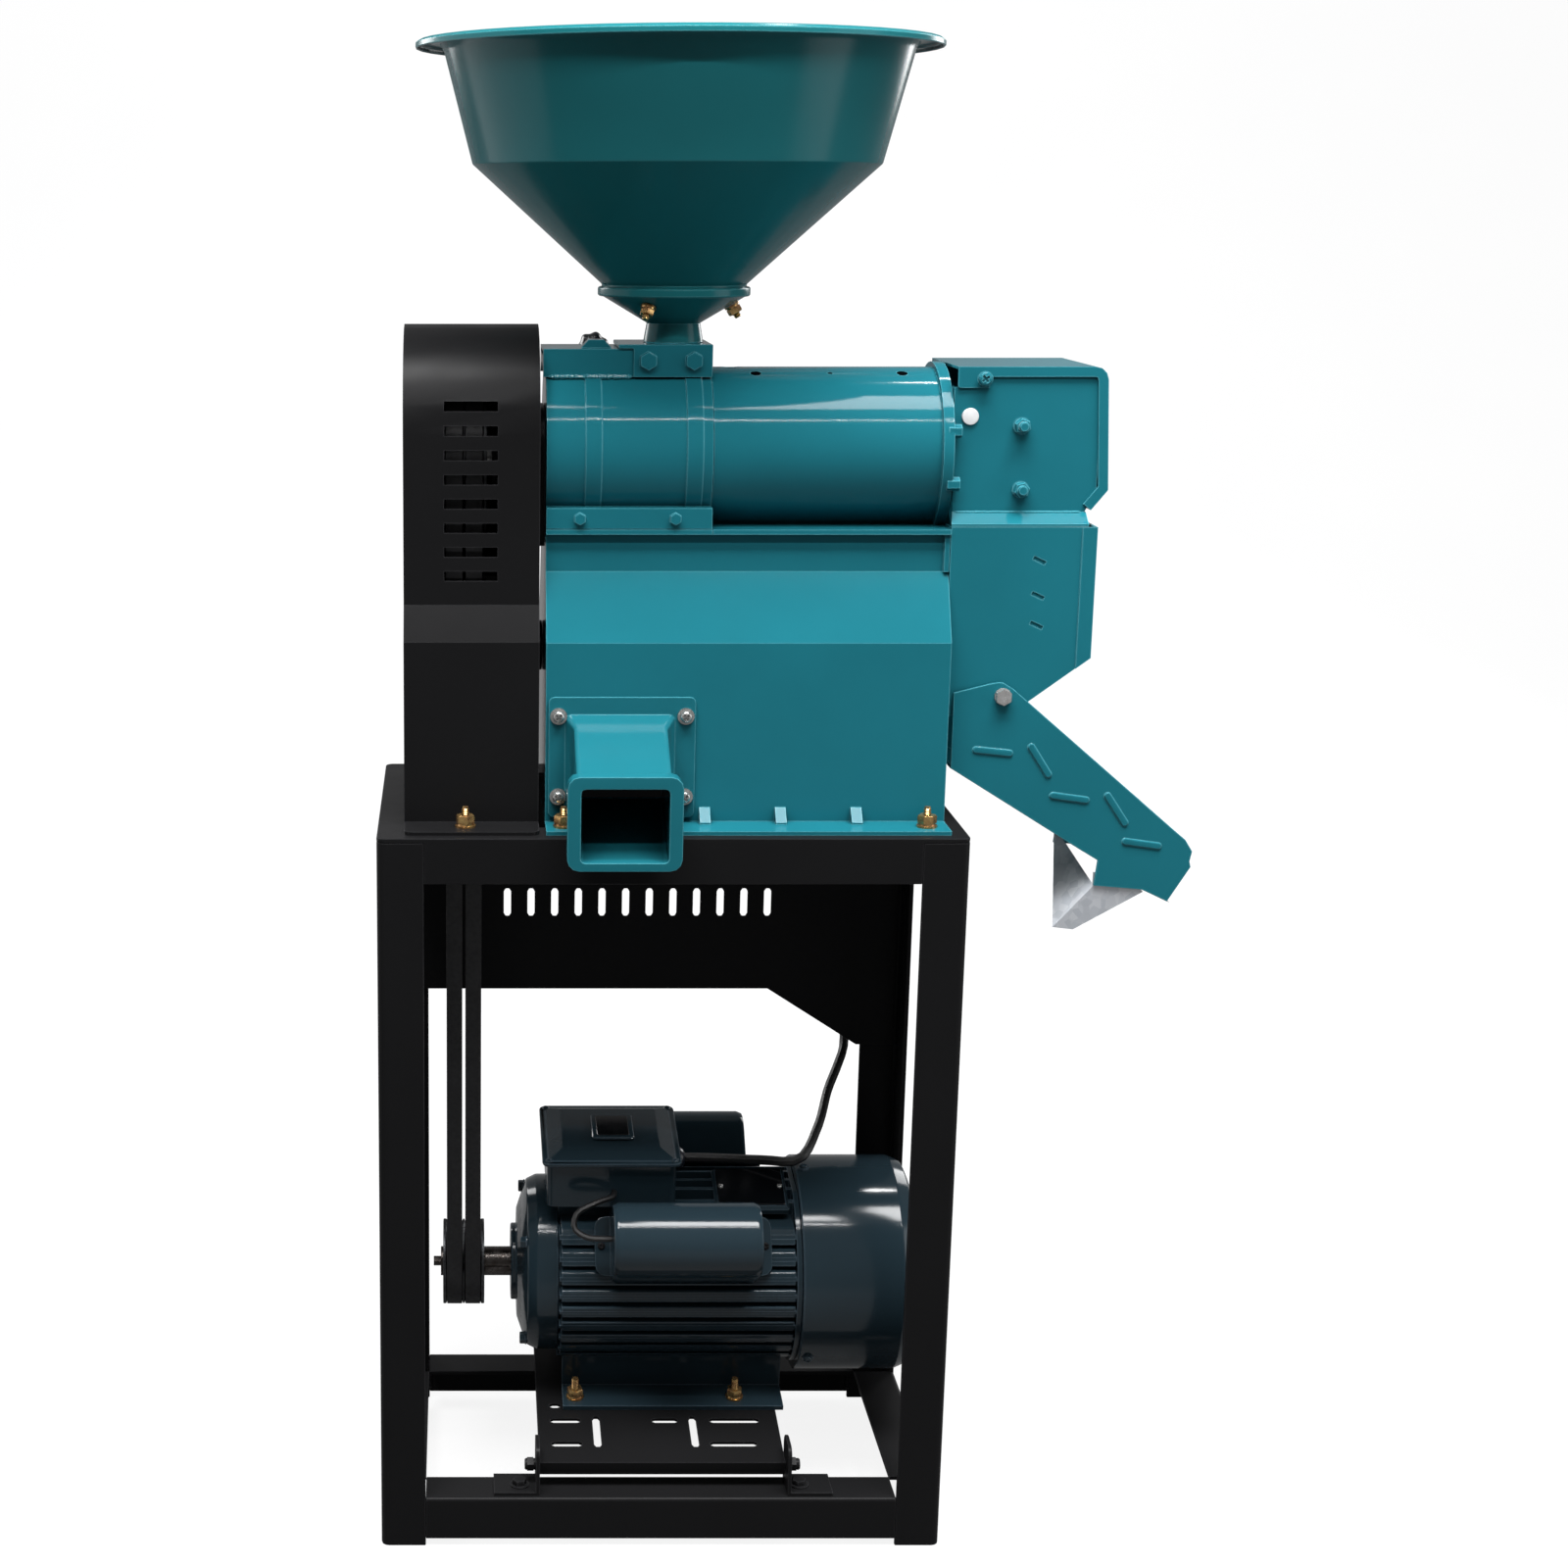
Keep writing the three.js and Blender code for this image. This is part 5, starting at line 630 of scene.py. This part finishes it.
def weld(name, points, radius, material, body, pitch=0.0022, slot="teal_enamel", closed=False):
    """A weld bead along the points: overlapping ripples with an uneven width."""
    sides, steps_per_ripple, end_steps = 8, 4, 5
    narrow, wide, dip = 0.86, 1.12, 0.16
    route = [Vector(p) for p in points]
    if closed:
        route.append(route[0])
    line = []
    for start, end in zip(route, route[1:]):
        steps = max(2, round((end - start).length / (pitch / steps_per_ripple)))
        line += [start.lerp(end, i / steps) for i in range(steps)]
    line.append(route[-1])
    last = len(line) - 1

    def build(bm):
        rings = []
        width = 1.0
        travelled = 0.0
        for i, point in enumerate(line):
            before = line[max(i - 1, 0)]
            along = (line[min(i + 1, last)] - before).normalized()
            travelled += (point - before).length
            if i % steps_per_ripple == 0:
                width = random.uniform(narrow, wide)
            ripple = 1.0 - dip * abs(math.sin(math.pi * travelled / pitch))
            end_share = min(1.0, (min(i, last - i) + 1) / end_steps)
            reach = radius * width * ripple * math.sqrt(end_share)
            side = along.orthogonal().normalized()
            up = along.cross(side)
            ring = []
            for k in range(sides):
                angle = 2 * math.pi * k / sides
                way = side * math.cos(angle) + up * math.sin(angle)
                ring.append(bm.verts.new(point + way * reach))
            rings.append(ring)
        bridge(bm, rings)

    made = piece(name, mesh_of(build), material, slot)
    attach(made, body)


front_rear = ((-1, "front"), (1, "rear"))
left_right = ((-1, "left"), (1, "right"))

# Foot nuts of the casing and the guard; fasteners are turned by their place, so that few look alike

foot_sheet = 0.003
foot_y = 0.103
foot_places = (("guard", -0.154), ("casing_left", -0.0807), ("casing_right", 0.191))
foot_turn, foot_turn_per_metre = 17, 400
foot_nut = nut_on_stud(0.0125, 0.0029, 0.0062)
for side, word in front_rear:
    for label, x in foot_places:
        fasten(f"foot_nut_{label}_{word}", foot_nut, yellow_zinc, "frame",
               at(x, side * foot_y, table_z + foot_sheet), (0, 0, 1),
               foot_turn * side + foot_turn_per_metre * x)

# Screws of the duct plate

duct_screw = pan_screw(0.0044, 0.0036, 0.0063, 0.0011)
plate_inset, plate_sheet = 0.0075, 0.003
plate_face = duct_high.y - plate_sheet
plate_levels = (("low", 0.599), ("high", 0.6605))
plate_turn, plate_turn_per_metre = 23, 900
for label, x in (("left", duct_low.x + plate_inset), ("right", duct_high.x - plate_inset)):
    for level, z in plate_levels:
        fasten(f"duct_screw_{label}_{level}", duct_screw, screw_steel, "frame", (x, plate_face, z),
               (0, -1, 0), plate_turn + plate_turn_per_metre * x)

# Nuts on the hopper collar's cone

collar_nut = nut_on_stud(0.0095, 0.0028, 0.0035)
cone_radius = 0.0435
cone_z = table_z + 0.3825
cone_out, cone_down = 0.509, -0.861
collar_turn = 40
for number, azimuth in enumerate((-120, 0, 120)):
    c, s = math.cos(math.radians(azimuth)), math.sin(math.radians(azimuth))
    fasten(f"collar_nut_{number + 1}", collar_nut, yellow_zinc, "frame",
           (hopper_x + cone_radius * c, cone_radius * s, cone_z),
           (cone_out * c, cone_out * s, cone_down), collar_turn * number)

# Plug in the side of the outlet box

box_face = 0.052
plug_x, plug_z = 0.2198, 0.8793
plug_rim, plug_side, plug_shoulder, plug_top = 0.0063, 0.001, 0.0019, 0.0024
plug_mesh = turned([(0, 0), (plug_rim, 0), (plug_rim, plug_side), (plug_rim * 0.92, plug_shoulder),
                    (plug_rim * 0.4, plug_top), (0, plug_top)], 32)
fasten("outlet_plug", plug_mesh, white_plastic, "frame", at(plug_x, -box_face, plug_z), (0, -1, 0))

# Painted nuts over the ends of the tie rod and of the flap's pin, and the screws of the cover

outlet_nut = nut_on_stud(0.0105, 0.0038, 0.0035)
tie_x, tie_z, tie_turn = 0.2595, table_z + 0.2494, 14
pin_x, pin_z, pin_turn = 0.2582, table_z + 0.2965, 41
for side, word in front_rear:
    fasten(f"tie_rod_nut_{word}", outlet_nut, teal, "frame", at(tie_x, side * box_face, tie_z),
           (0, side, 0), tie_turn, "teal_enamel")
    fasten(f"flap_pin_nut_{word}", outlet_nut, teal, "outlet_flap",
           at(pin_x, side * box_face, pin_z), (0, side, 0), pin_turn, "teal_enamel")
outlet_screw = pan_screw(0.0052, 0.0024, 0.0058, 0.0004)
screw_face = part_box("outlet_cover")[1].y
screw_x, screw_z, screw_turn = 0.2286, table_z + 0.3313, 35
for side, word in front_rear:
    fasten(f"cover_screw_{word}", outlet_screw, teal, "outlet_lid",
           at(screw_x, side * screw_face, screw_z), (0, side, 0), screw_turn, "teal_enamel")

# Discs of painted shade sunk under the holes along the top of the barrel, in shares of its length
# and radius

barrel_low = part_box("hulling_barrel")[0]
barrel_radius, barrel_length = 0.0615, 0.169
hole_shares = ((0.2, 0.07), (0.53, 0.035), (0.85, 0.07))
hole_lean = math.asin(-0.325)
hole_way = (0, math.sin(hole_lean), math.cos(hole_lean))
bore_sunk, bore_depth = 0.0005, 0.001
bore_reach = barrel_radius - bore_sunk
for number, (along, share) in enumerate(hole_shares):
    bore = turned(disc(share * barrel_radius, -bore_depth, 0), 24)
    fasten(f"barrel_hole_shade_{number + 1}", bore, hole_shade, "frame",
           (barrel_low.x + along * barrel_length, hole_way[1] * bore_reach,
            shaft_z + hole_way[2] * bore_reach), hole_way, 0, "black_rubber")

# Liner behind the rear slots of the guard

guard_low, guard_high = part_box("belt_guard")


def build_liner(bm):
    """A sheet that follows the guard's rear wall and the start of its round top."""
    radius, sheet = 0.0728, 0.0008
    foot_z, centre_z = table_z + 0.178, table_z + 0.293
    left, right = guard_low.x + 0.003, guard_high.x - 0.004
    steps, step_degrees = 4, 7
    line = [(radius, foot_z), (radius, centre_z)]
    for step in range(1, steps + 1):
        angle = math.radians(step_degrees * step)
        line.append((radius * math.cos(angle), centre_z + radius * math.sin(angle)))
    add_x_prism(bm, line + [(y - sheet, z) for y, z in reversed(line)], left, right)


liner = piece("guard_liner", mesh_of(build_liner), black, "black_enamel")
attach(liner, "frame")

# Chute tray with bars pressed into its cheeks, in shares of its reach and drop from the pivot

chute_reach, chute_drop = 0.151, 0.160
chute_half = 0.068
chute_sheet, tray_round = 0.002, 0.0005
bar_length, bar_width, bar_proud = 0.031, 0.0056, 0.0012
cheek_shares = [(-0.245, 0.016), (-0.066, 0.059), (-0.024, 0.066), (0.0, 0.064), (0.051, 0.035),
                (0.914, -0.662), (0.96, -0.698), (0.998, -0.755), (0.988, -0.804), (0.995, -0.832),
                (0.887, -1.002), (0.754, -0.944), (0.507, -0.924), (0.522, -0.799), (0.424, -0.743),
                (-0.244, -0.348)]
tray_floor_shares = [(-0.244, -0.348), (0.424, -0.743), (0.887, -1.002), (0.893, -0.990),
                     (0.430, -0.731), (-0.238, -0.336)]
bar_shares = [(-0.037, -0.266, -6), (0.201, -0.31, -57), (0.36, -0.491, -8), (0.599, -0.547, -56),
              (0.738, -0.716, -8)]


def add_bar(bm, x, z, degrees, side):
    """A pressed bar with round ends and a domed face, proud of the cheek."""
    count = 16
    dome = ((0.0, -0.001), (0.0, 0.35), (0.12, 0.75), (0.42, 1.0))
    c, s = math.cos(math.radians(degrees)), math.sin(math.radians(degrees))
    end = (bar_length - bar_width) / 2
    rings = []
    for inset, rise in dome:
        radius = bar_width / 2 * (1 - inset)
        y = side * (chute_half + bar_proud * rise)
        ring = []
        for step in range(count):
            spin = 2 * math.pi * (step + 0.5) / count
            u = radius * math.cos(spin) + math.copysign(end, math.cos(spin))
            v = radius * math.sin(spin)
            ring.append(bm.verts.new((x + u * c - v * s, y, z + u * s + v * c)))
        rings.append(ring)
    bridge(bm, rings)


def build_tray(bm):
    cheek = [(u * chute_reach, v * chute_drop) for u, v in cheek_shares]
    tray_floor = [(u * chute_reach, v * chute_drop) for u, v in tray_floor_shares]
    inner = chute_half - chute_sheet
    add_y_prism(bm, cheek, -chute_half, -inner)
    add_y_prism(bm, cheek, inner, chute_half)
    add_y_prism(bm, tray_floor, -inner, inner)
    for side in (-1, 1):
        for u, v, degrees in bar_shares:
            add_bar(bm, u * chute_reach, v * chute_drop, degrees, side)


bolt_low, bolt_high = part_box("chute_bolt_front")
pivot = Vector(((bolt_low.x + bolt_high.x) / 2, 0.0, (bolt_low.z + bolt_high.z) / 2))
tray = piece("chute_tray_pressed", mesh_of(build_tray), teal, "teal_enamel")
tray.matrix_world = Matrix.Translation(pivot)
round_edges(tray, tray_round, soft_limit, pierced=True)
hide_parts("chute_tray")
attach(tray, "chute")

# Lobed knob of the feed gate

knob_low, knob_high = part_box("gate_knob")


def build_knob(bm):
    lobes, steps_per_lobe, lobe_height = 7, 8, 0.07
    steps = lobes * steps_per_lobe
    length = knob_high.y - knob_low.y
    hub, grip = 0.0055, 0.0117
    lobed = [1 + lobe_height * math.cos(2 * math.pi * lobes * i / steps) for i in range(steps)]
    rings = [add_ring(bm, hub, length * share, steps) for share in (0.0, 0.3)]
    for width, share in ((0.86, 0.36), (1.0, 0.46), (1.0, 0.86), (0.9, 0.97), (0.7, 1.0)):
        rings.append(add_ring(bm, grip * width, length * share, steps, lobed))
    bridge(bm, rings)


knob = fasten("gate_knob_lobed", mesh_of(build_knob), black_plastic, "feed_gate",
              ((knob_low.x + knob_high.x) / 2, knob_low.y, (knob_low.z + knob_high.z) / 2),
              (0, 1, 0), 0, "black_plastic")
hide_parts("gate_knob")

# The tilted frame of the motor: along the base plate from its hinge, and square to it

motor_tilt = math.radians(8)
hinge_y, hinge_z = -0.106, 0.059
motor_axis = (0.149, 0.094)


def tilted(along, up):
    c, s = math.cos(motor_tilt), math.sin(motor_tilt)
    return along * c - up * s, along * s + up * c


def on_motor(x, along, up):
    """A place on the motor."""
    y, z = tilted(along, up)
    return at(x, hinge_y + y, hinge_z + z)


def motor_way(x, along, up):
    """A direction in the frame of the motor."""
    return Vector((x, *tilted(along, up)))


# Nuts of the motor's feet, screws of the hinge brackets and of the terminal lid

foot_top = 0.0083
foot_columns = (("left", -0.0637), ("right", 0.067))
foot_rows = (("front", 0.079), ("rear", 0.219))
motor_turn_per_metre = 300
motor_nut = nut_on_stud(0.0115, 0.0030, 0.0095)
for x_label, x in foot_columns:
    for label, along in foot_rows:
        fasten(f"motor_nut_{label}_{x_label}", motor_nut, yellow_zinc, "motor",
               on_motor(x, along, foot_top), motor_way(0, 0, 1), motor_turn_per_metre * x)

bracket_screw = hex_screw(0.010, 0.004, 0.0075, 0.0012)
bracket_columns = (("left", -0.111), ("right", 0.1105))
bracket_sheet, bracket_y, bracket_turn = 0.003, -0.112, 12
bracket_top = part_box("hinge_bracket_left")[0].z + bracket_sheet
for label, x in bracket_columns:
    fasten(f"bracket_screw_{label}", bracket_screw, black, "frame", at(x, bracket_y, bracket_top),
           (0, 0, 1), bracket_turn)

lid_screw = pan_screw(0.0032, 0.0018)
lid_left, lid_right = -0.092, 0.020
lid_front, lid_rear = 0.100, 0.199
lid_top, lid_edge, lid_screw_turn = 0.213, 0.0055, 30
for label, x in (("left", lid_left + lid_edge), ("right", lid_right - lid_edge)):
    for word, along in (("front", lid_front + lid_edge), ("rear", lid_rear - lid_edge)):
        fasten(f"lid_screw_{word}_{label}", lid_screw, slate, "motor", on_motor(x, along, lid_top),
               motor_way(0, 0, 1), lid_screw_turn)

# Dark window on the terminal lid's raised field

window_x, window_along = -0.034, 0.147
field_seat, field_size, field_sheet, field_corner = 0.2210, (0.034, 0.040), 0.0016, 0.003
glass_seat, glass_size, glass_sheet, glass_corner = 0.2225, (0.026, 0.032), 0.0006, 0.0015
slab("lid_window_frame", slate, "motor", on_motor(window_x, window_along, field_seat),
     motor_way(0, 1, 0), field_size, field_sheet, field_corner, "slate_enamel")
slab("lid_window", glass_black, "motor", on_motor(window_x, window_along, glass_seat),
     motor_way(0, 1, 0), glass_size, glass_sheet, glass_corner)

# Bare plate on a pad of the motor's shoulder, held by two rivets

plate_x = 0.079
plate_lean = math.radians(11)
pad_radius, plate_radius = 0.0740, 0.0805
pad_size, rating_size = (0.060, 0.050), (0.054, 0.044)
rating_sheet, rating_corner = 0.0012, 0.002
rivet_reach, rivet_seat = 0.0240, 0.0011
lean_up, lean_out = math.sin(plate_lean), math.cos(plate_lean)
plate_side = motor_way(0, lean_out, lean_up)
plate_out = motor_way(0, -lean_up, lean_out)


def plate_place(radius):
    return on_motor(plate_x, motor_axis[0] - radius * lean_up, motor_axis[1] + radius * lean_out)


plate_middle = plate_place(plate_radius)
slab("rating_pad", slate, "motor", plate_place(pad_radius), plate_side, pad_size,
     plate_radius - pad_radius, rating_corner, "slate_enamel")
slab("rating_plate", glass_black, "motor", plate_middle, plate_side, rating_size, rating_sheet,
     rating_corner)
rivet = turned([(0, 0), (0.0022, 0), (0.0019, 0.0008), (0.001, 0.0013), (0, 0.0014)], 16)
for number, side in enumerate((-1, 1)):
    fasten(f"plate_rivet_{number + 1}", rivet, screw_steel, "motor",
           plate_middle + Vector((side * rivet_reach, 0, 0)) + plate_out * rivet_seat, plate_out)

# Screws of the fan cover, the end shield and the capacitor covers


def round_motor(name, mesh, x, radius, angles, outward):
    """Fasteners round the motor's axis; they point outwards, or to the belt side."""
    turn_step = 31
    for number, angle in enumerate(angles):
        c, s = math.cos(math.radians(angle)), math.sin(math.radians(angle))
        point = on_motor(x, motor_axis[0] + radius * c, motor_axis[1] + radius * s)
        way = motor_way(0, c, s) if outward else (-1, 0, 0)
        fasten(f"{name}_{number + 1}", mesh, slate, "motor", point, way, turn_step * number)


cover_screw = pan_screw(0.0035, 0.0022, 0.0048, 0.0008)
cover_x, cover_radius = 0.1245, 0.0878
round_motor("fan_cover_screw", cover_screw, cover_x, cover_radius, (210, 330, 90), True)
shield_screw = hex_screw(0.0085, 0.0045, 0.0055, 0.001)
shield_x, shield_radius = -0.1035, 0.0640
round_motor("shield_screw", shield_screw, shield_x, shield_radius, (45, 135, 225, 315), False)

capacitor_screw = pan_screw(0.0030, 0.0020)
capacitor_seat, capacitor_edge, capacitor_turn = 0.0818, 0.0075, 20
capacitor_ways = (("front", (-0.767, 0.641), (-0.037, 0.080)),
                  ("rear", (0.779, 0.627), (-0.034, 0.083)))
for label, (along, up), (left, right) in capacitor_ways:
    for word, x in (("left", left - capacitor_edge), ("right", right + capacitor_edge)):
        point = on_motor(x, motor_axis[0] + along * capacitor_seat,
                         motor_axis[1] + up * capacitor_seat)
        fasten(f"capacitor_screw_{label}_{word}", capacitor_screw, black, "motor", point,
               motor_way(0, along, up), capacitor_turn)

# Gland nut and its rubber neck where the motor cable leaves the terminal box


def build_gland(bm):
    notches = 12
    neck, grip, shoulder, mouth = 0.0046, 0.0092, 0.00736, 0.0050
    grip_top, shoulder_top, mouth_top = 0.006, 0.0085, 0.010
    notched = [1.0, 0.93] * notches
    plain = [1.0] * (notches * 2)
    profile = [(neck, 0.0, plain), (grip, 0.0, notched), (grip, grip_top, notched),
               (shoulder, shoulder_top, plain), (mouth, mouth_top, plain)]
    bridge(bm, [add_ring(bm, radius, height, notches * 2, shares)
                for radius, height, shares in profile], closed=False)


gland_x, gland_along, gland_up = 0.0180, 0.168, 0.181
fasten("cable_gland", mesh_of(build_gland), black_plastic, "motor",
       on_motor(gland_x, gland_along, gland_up), (1, 0, 0))

# Cast ribs of the motor housing, broad over the thin fins


def build_ribs(bm):
    """Ribs along X on both flanks, each from its root to the round outline of the housing."""
    left, right = -0.0765, 0.1125
    tip_radius, root_radius = 0.0786, 0.060
    half, draft, pitch, ribs_per_half = 0.0049, 0.0012, 0.014, 4
    for side in (-1, 1):
        for number in range(-ribs_per_half, ribs_per_half + 1):
            height = number * pitch
            corners = []
            for rise in (height - half, height, height + half):
                corners.append((side * math.sqrt(tip_radius ** 2 - rise ** 2), rise))
            root = math.sqrt(root_radius ** 2 - height ** 2)
            corners += [(side * root, height + half + draft), (side * root, height - half - draft)]
            add_x_prism(bm, corners, left, right)


ribs = piece("housing_ribs", mesh_of(build_ribs), slate, "slate_enamel")
ribs_place = Matrix.Translation(on_motor(0.0, *motor_axis))
ribs.matrix_world = ribs_place @ Matrix.Rotation(motor_tilt, 4, "X")
round_edges(ribs, cast_round, soft_limit)
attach(ribs, "motor")

# Ends of the hinge bolts, outside the brackets

pin_radius, pin_tip, pin_side, pin_end = 0.0046, 0.0038, 0.0075, 0.0085
ear_sheet = 0.003
pin_mesh = turned([(0, 0), (pin_radius, 0), (pin_radius, pin_side), (pin_tip, pin_end),
                   (0, pin_end)], 20)
for side, word in left_right:
    low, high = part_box(f"hinge_bracket_{word}")
    ear = low.x if side > 0 else high.x
    fasten(f"hinge_pin_{word}", pin_mesh, black, "frame",
           (ear + side * ear_sheet, hinge_y, hinge_z), (side, 0, 0), 0, "black_enamel")

# Key in the motor shaft

key_size, key_round = (0.020, 0.005, 0.003), 0.0006
key_x, key_out = -0.127, 0.0115


def build_key(bm):
    bmesh.ops.create_cube(bm, size=1.0, matrix=Matrix.Diagonal((*key_size, 1.0)))
    bmesh.ops.bevel(bm, geom=bm.edges[:], offset=key_round, segments=2, affect="EDGES")


key = piece("shaft_key", mesh_of(build_key), dark_steel, "bright_steel")
key_place = Matrix.Translation(on_motor(key_x, motor_axis[0] - key_out, motor_axis[1]))
key.matrix_world = key_place @ aim(motor_way(0, -1, 0))
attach(key, "motor_rotor")

# Screws of the switch box and rings round its buttons

box_screw = pan_screw(0.0028, 0.0018)
screw_inset, box_screw_turn = 0.0065, 15
for label, x in (("left", switch_low.x + screw_inset), ("right", switch_high.x - screw_inset)):
    for word, z in (("low", switch_low.z + screw_inset), ("high", switch_high.z - screw_inset)):
        fasten(f"switch_screw_{label}_{word}", box_screw, screw_steel, "frame",
               (x, switch_high.y, z), (0, 1, 0), box_screw_turn)
ring_bore, ring_lip, ring_shoulder, ring_rim = 0.0112, 0.0118, 0.0140, 0.0150
ring_side, ring_top = 0.0012, 0.0024
button_ring = turned([(ring_bore, 0), (ring_rim, 0), (ring_rim, ring_side),
                      (ring_shoulder, ring_top), (ring_lip, ring_top), (ring_bore, 0)], 36)
for name in ("start_button", "stop_button"):
    low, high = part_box(name)
    fasten(f"{name}_ring", button_ring, screw_steel, "frame",
           ((low.x + high.x) / 2, switch_high.y, (low.z + high.z) / 2), (0, 1, 0))

# Weld beads


def seam(start, end, y, z):
    """A straight seam along X."""
    return [(start, y, z), (end, y, z)]


seam_inset = 0.004
block_seam_reach, block_seam_z, block_bead = 0.066, shaft_z + 0.0562, 0.0020
weld("weld_block_front",
     seam(block_low.x + seam_inset, block_low.x + block_seam_reach, block_low.y, block_seam_z),
     block_bead, teal, "frame")
duct_seam_x, duct_seam_y, duct_seam_z = at(-0.0385, 0, 0).x, -0.1497, 0.5943
duct_half_x, duct_half_z, duct_corner, duct_bead = 0.0352, 0.0304, 0.004, 0.0013
corner_steps = 3
duct_outline = rounded_rectangle(duct_half_x, duct_half_z, duct_corner, corner_steps)
weld("weld_duct_collar",
     [(duct_seam_x + x, duct_seam_y, duct_seam_z + z) for x, z in duct_outline],
     duct_bead, teal, "frame", closed=True)
skirt_reach, skirt_y, skirt_z, skirt_bead = 0.098, 0.0522, table_z + 0.2325, 0.0011
for side, word in front_rear:
    weld(f"weld_outlet_{word}",
         seam(outlet_low.x + seam_inset, outlet_low.x + skirt_reach, side * skirt_y, skirt_z),
         skirt_bead, teal, "frame")
rail_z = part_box("lower_rail_front")[1].z
leg_x, leg_y = 0.185, 0.1235
leg_seam_low, leg_seam_high = 0.008, rail_z - 0.005
stand_pitch, rail_bead, bracket_bead = 0.003, 0.0022, 0.0018
bracket_inset, bracket_sunk = 0.002, 0.001
for x_side, x_word in left_right:
    for y_side, y_word in front_rear:
        x, y = x_side * leg_x, y_side * leg_y
        weld(f"weld_rail_{y_word}_{x_word}", [at(x, y, leg_seam_low), at(x, y, leg_seam_high)],
             rail_bead, black, "frame", stand_pitch, "black_enamel")
    low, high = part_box(f"hinge_bracket_{x_word}")
    weld(f"weld_bracket_{x_word}",
         seam(low.x + bracket_inset, high.x - bracket_inset, high.y - bracket_sunk, rail_z),
         bracket_bead, black, "frame", stand_pitch, "black_enamel")

# Floor, light and camera


def seen_rays(tree, low, high, mirrored):
    """A strength that is low for the light, high where it is seen or looked at through glass, and
    between for mirrored rays."""
    ray = tree.nodes.new("ShaderNodeLightPath")
    total = None
    for name, share in (("Is Camera Ray", high - low), ("Is Transmission Ray", high - low),
                        ("Is Glossy Ray", mirrored)):
        step = tree.nodes.new("ShaderNodeMath")
        step.operation = "MULTIPLY_ADD"
        tree.links.new(ray.outputs[name], step.inputs[0])
        step.inputs[1].default_value = share
        step.inputs[2].default_value = low
        if total is not None:
            tree.links.new(total, step.inputs[2])
        total = step.outputs[0]
    return total


def floor():
    """A floor that curves up behind the machine."""
    dark, light = linear(96, 96, 97), linear(100, 100, 100)
    glow, mirrored_glow = 0.88, 0.12
    cloud_scale, grain_scale, grain_depth = 3.0, 300.0, 0.00005
    reach, curve, steps = 4.0, 1.2, 12
    shader = Shader("floor")
    clouds = shader.spread(shader.noise(cloud_scale, 4.0), 0.0, 1.0)
    shader.wire(shader.mix(clouds, dark, light), "Base Color")
    shader.set(Roughness=0.6, Specular_IOR_Level=0.2, Emission_Color=(1.0, 1.0, 1.0, 1.0))
    shader.wire(seen_rays(shader.material.node_tree, 0.0, glow, mirrored_glow), "Emission Strength")
    shader.bumps((shader.noise(grain_scale, 2.0), grain_depth))
    line = [(-reach, 0.0)]
    for step in range(steps + 1):
        angle = math.pi / 2 * step / steps
        line.append((reach / 2 + curve * math.sin(angle), curve * (1 - math.cos(angle))))
    line.append((reach / 2 + curve, reach))
    bm = bmesh.new()
    left, right = [[bm.verts.new((x, y, z)) for y, z in line] for x in (-reach * 1.5, reach * 1.5)]
    for i in range(len(line) - 1):
        face = bm.faces.new([left[i], right[i], right[i + 1], left[i + 1]])
        face.smooth = True
    bmesh.ops.recalc_face_normals(bm, faces=bm.faces)
    mesh = bpy.data.meshes.new("floor")
    bm.to_mesh(mesh)
    bm.free()
    made = piece("studio_floor", mesh, shader.material)


def softbox(name, centre, target, size, power):
    """A lamp that shines from its centre to the target, and isn't seen itself."""
    data = bpy.data.lights.new(name, "AREA")
    data.shape = "RECTANGLE"
    data.size, data.size_y = size
    data.energy = power
    lamp = bpy.data.objects.new(name, data)
    bpy.context.scene.collection.objects.link(lamp)
    lamp.location = centre
    lamp.rotation_mode = "QUATERNION"
    lamp.rotation_quaternion = (Vector(target) - Vector(centre)).to_track_quat("-Z", "Y")
    lamp.visible_camera = False


floor()
world = bpy.data.worlds.new("studio")
bpy.context.scene.world = world
world.use_nodes = True
background = world.node_tree.nodes["Background"]
background.inputs["Color"].default_value = (1.0, 1.0, 1.0, 1.0)
sky_light, sky_seen, sky_mirrored = 0.09, 1.0, 0.1
world.node_tree.links.new(seen_rays(world.node_tree, sky_light, sky_seen, sky_mirrored),
                          background.inputs["Strength"])

middle = (0.0, 0.0, 0.8)
softbox("strip_front", (0.0, -0.702, 1.519), (0.0, -0.056, 0.877), (1.5, 0.011), 6.0)
softbox("ceiling_lamp", (0.50, 0.68, 2.80), (0.09, 0.0, 0.9), (0.13, 0.04), 4)
softbox("soft_top", (0.0, -0.80, 3.3), middle, (2.6, 1.0), 210)
softbox("soft_left", (-2.25, 0.55, 1.0), (0.0, 0.0, 1.0), (2.4, 1.8), 15)
softbox("soft_right", (2.3, -0.75, 1.0), (0.0, 0.0, 1.0), (1.2, 1.8), 14)
softbox("soft_rear_left", (-1.7, 2.1, 1.6), middle, (0.8, 1.4), 24)
softbox("soft_rear_right", (1.7, 2.1, 1.6), middle, (0.8, 1.4), 24)

camera_pitch = 13.02
camera_data = bpy.data.cameras.new("camera")
camera_data.lens = 57.64
camera_data.sensor_width = 36.0
camera_data.shift_x = 0.2059
camera = bpy.data.objects.new("camera", camera_data)
bpy.context.scene.collection.objects.link(camera)
camera.location = at(-0.15716, -1.9246, 1.033)
camera.rotation_euler = (math.radians(90 - camera_pitch), 0.0, 0.0)
bpy.context.scene.camera = camera
bpy.context.scene.view_settings.view_transform = "Standard"
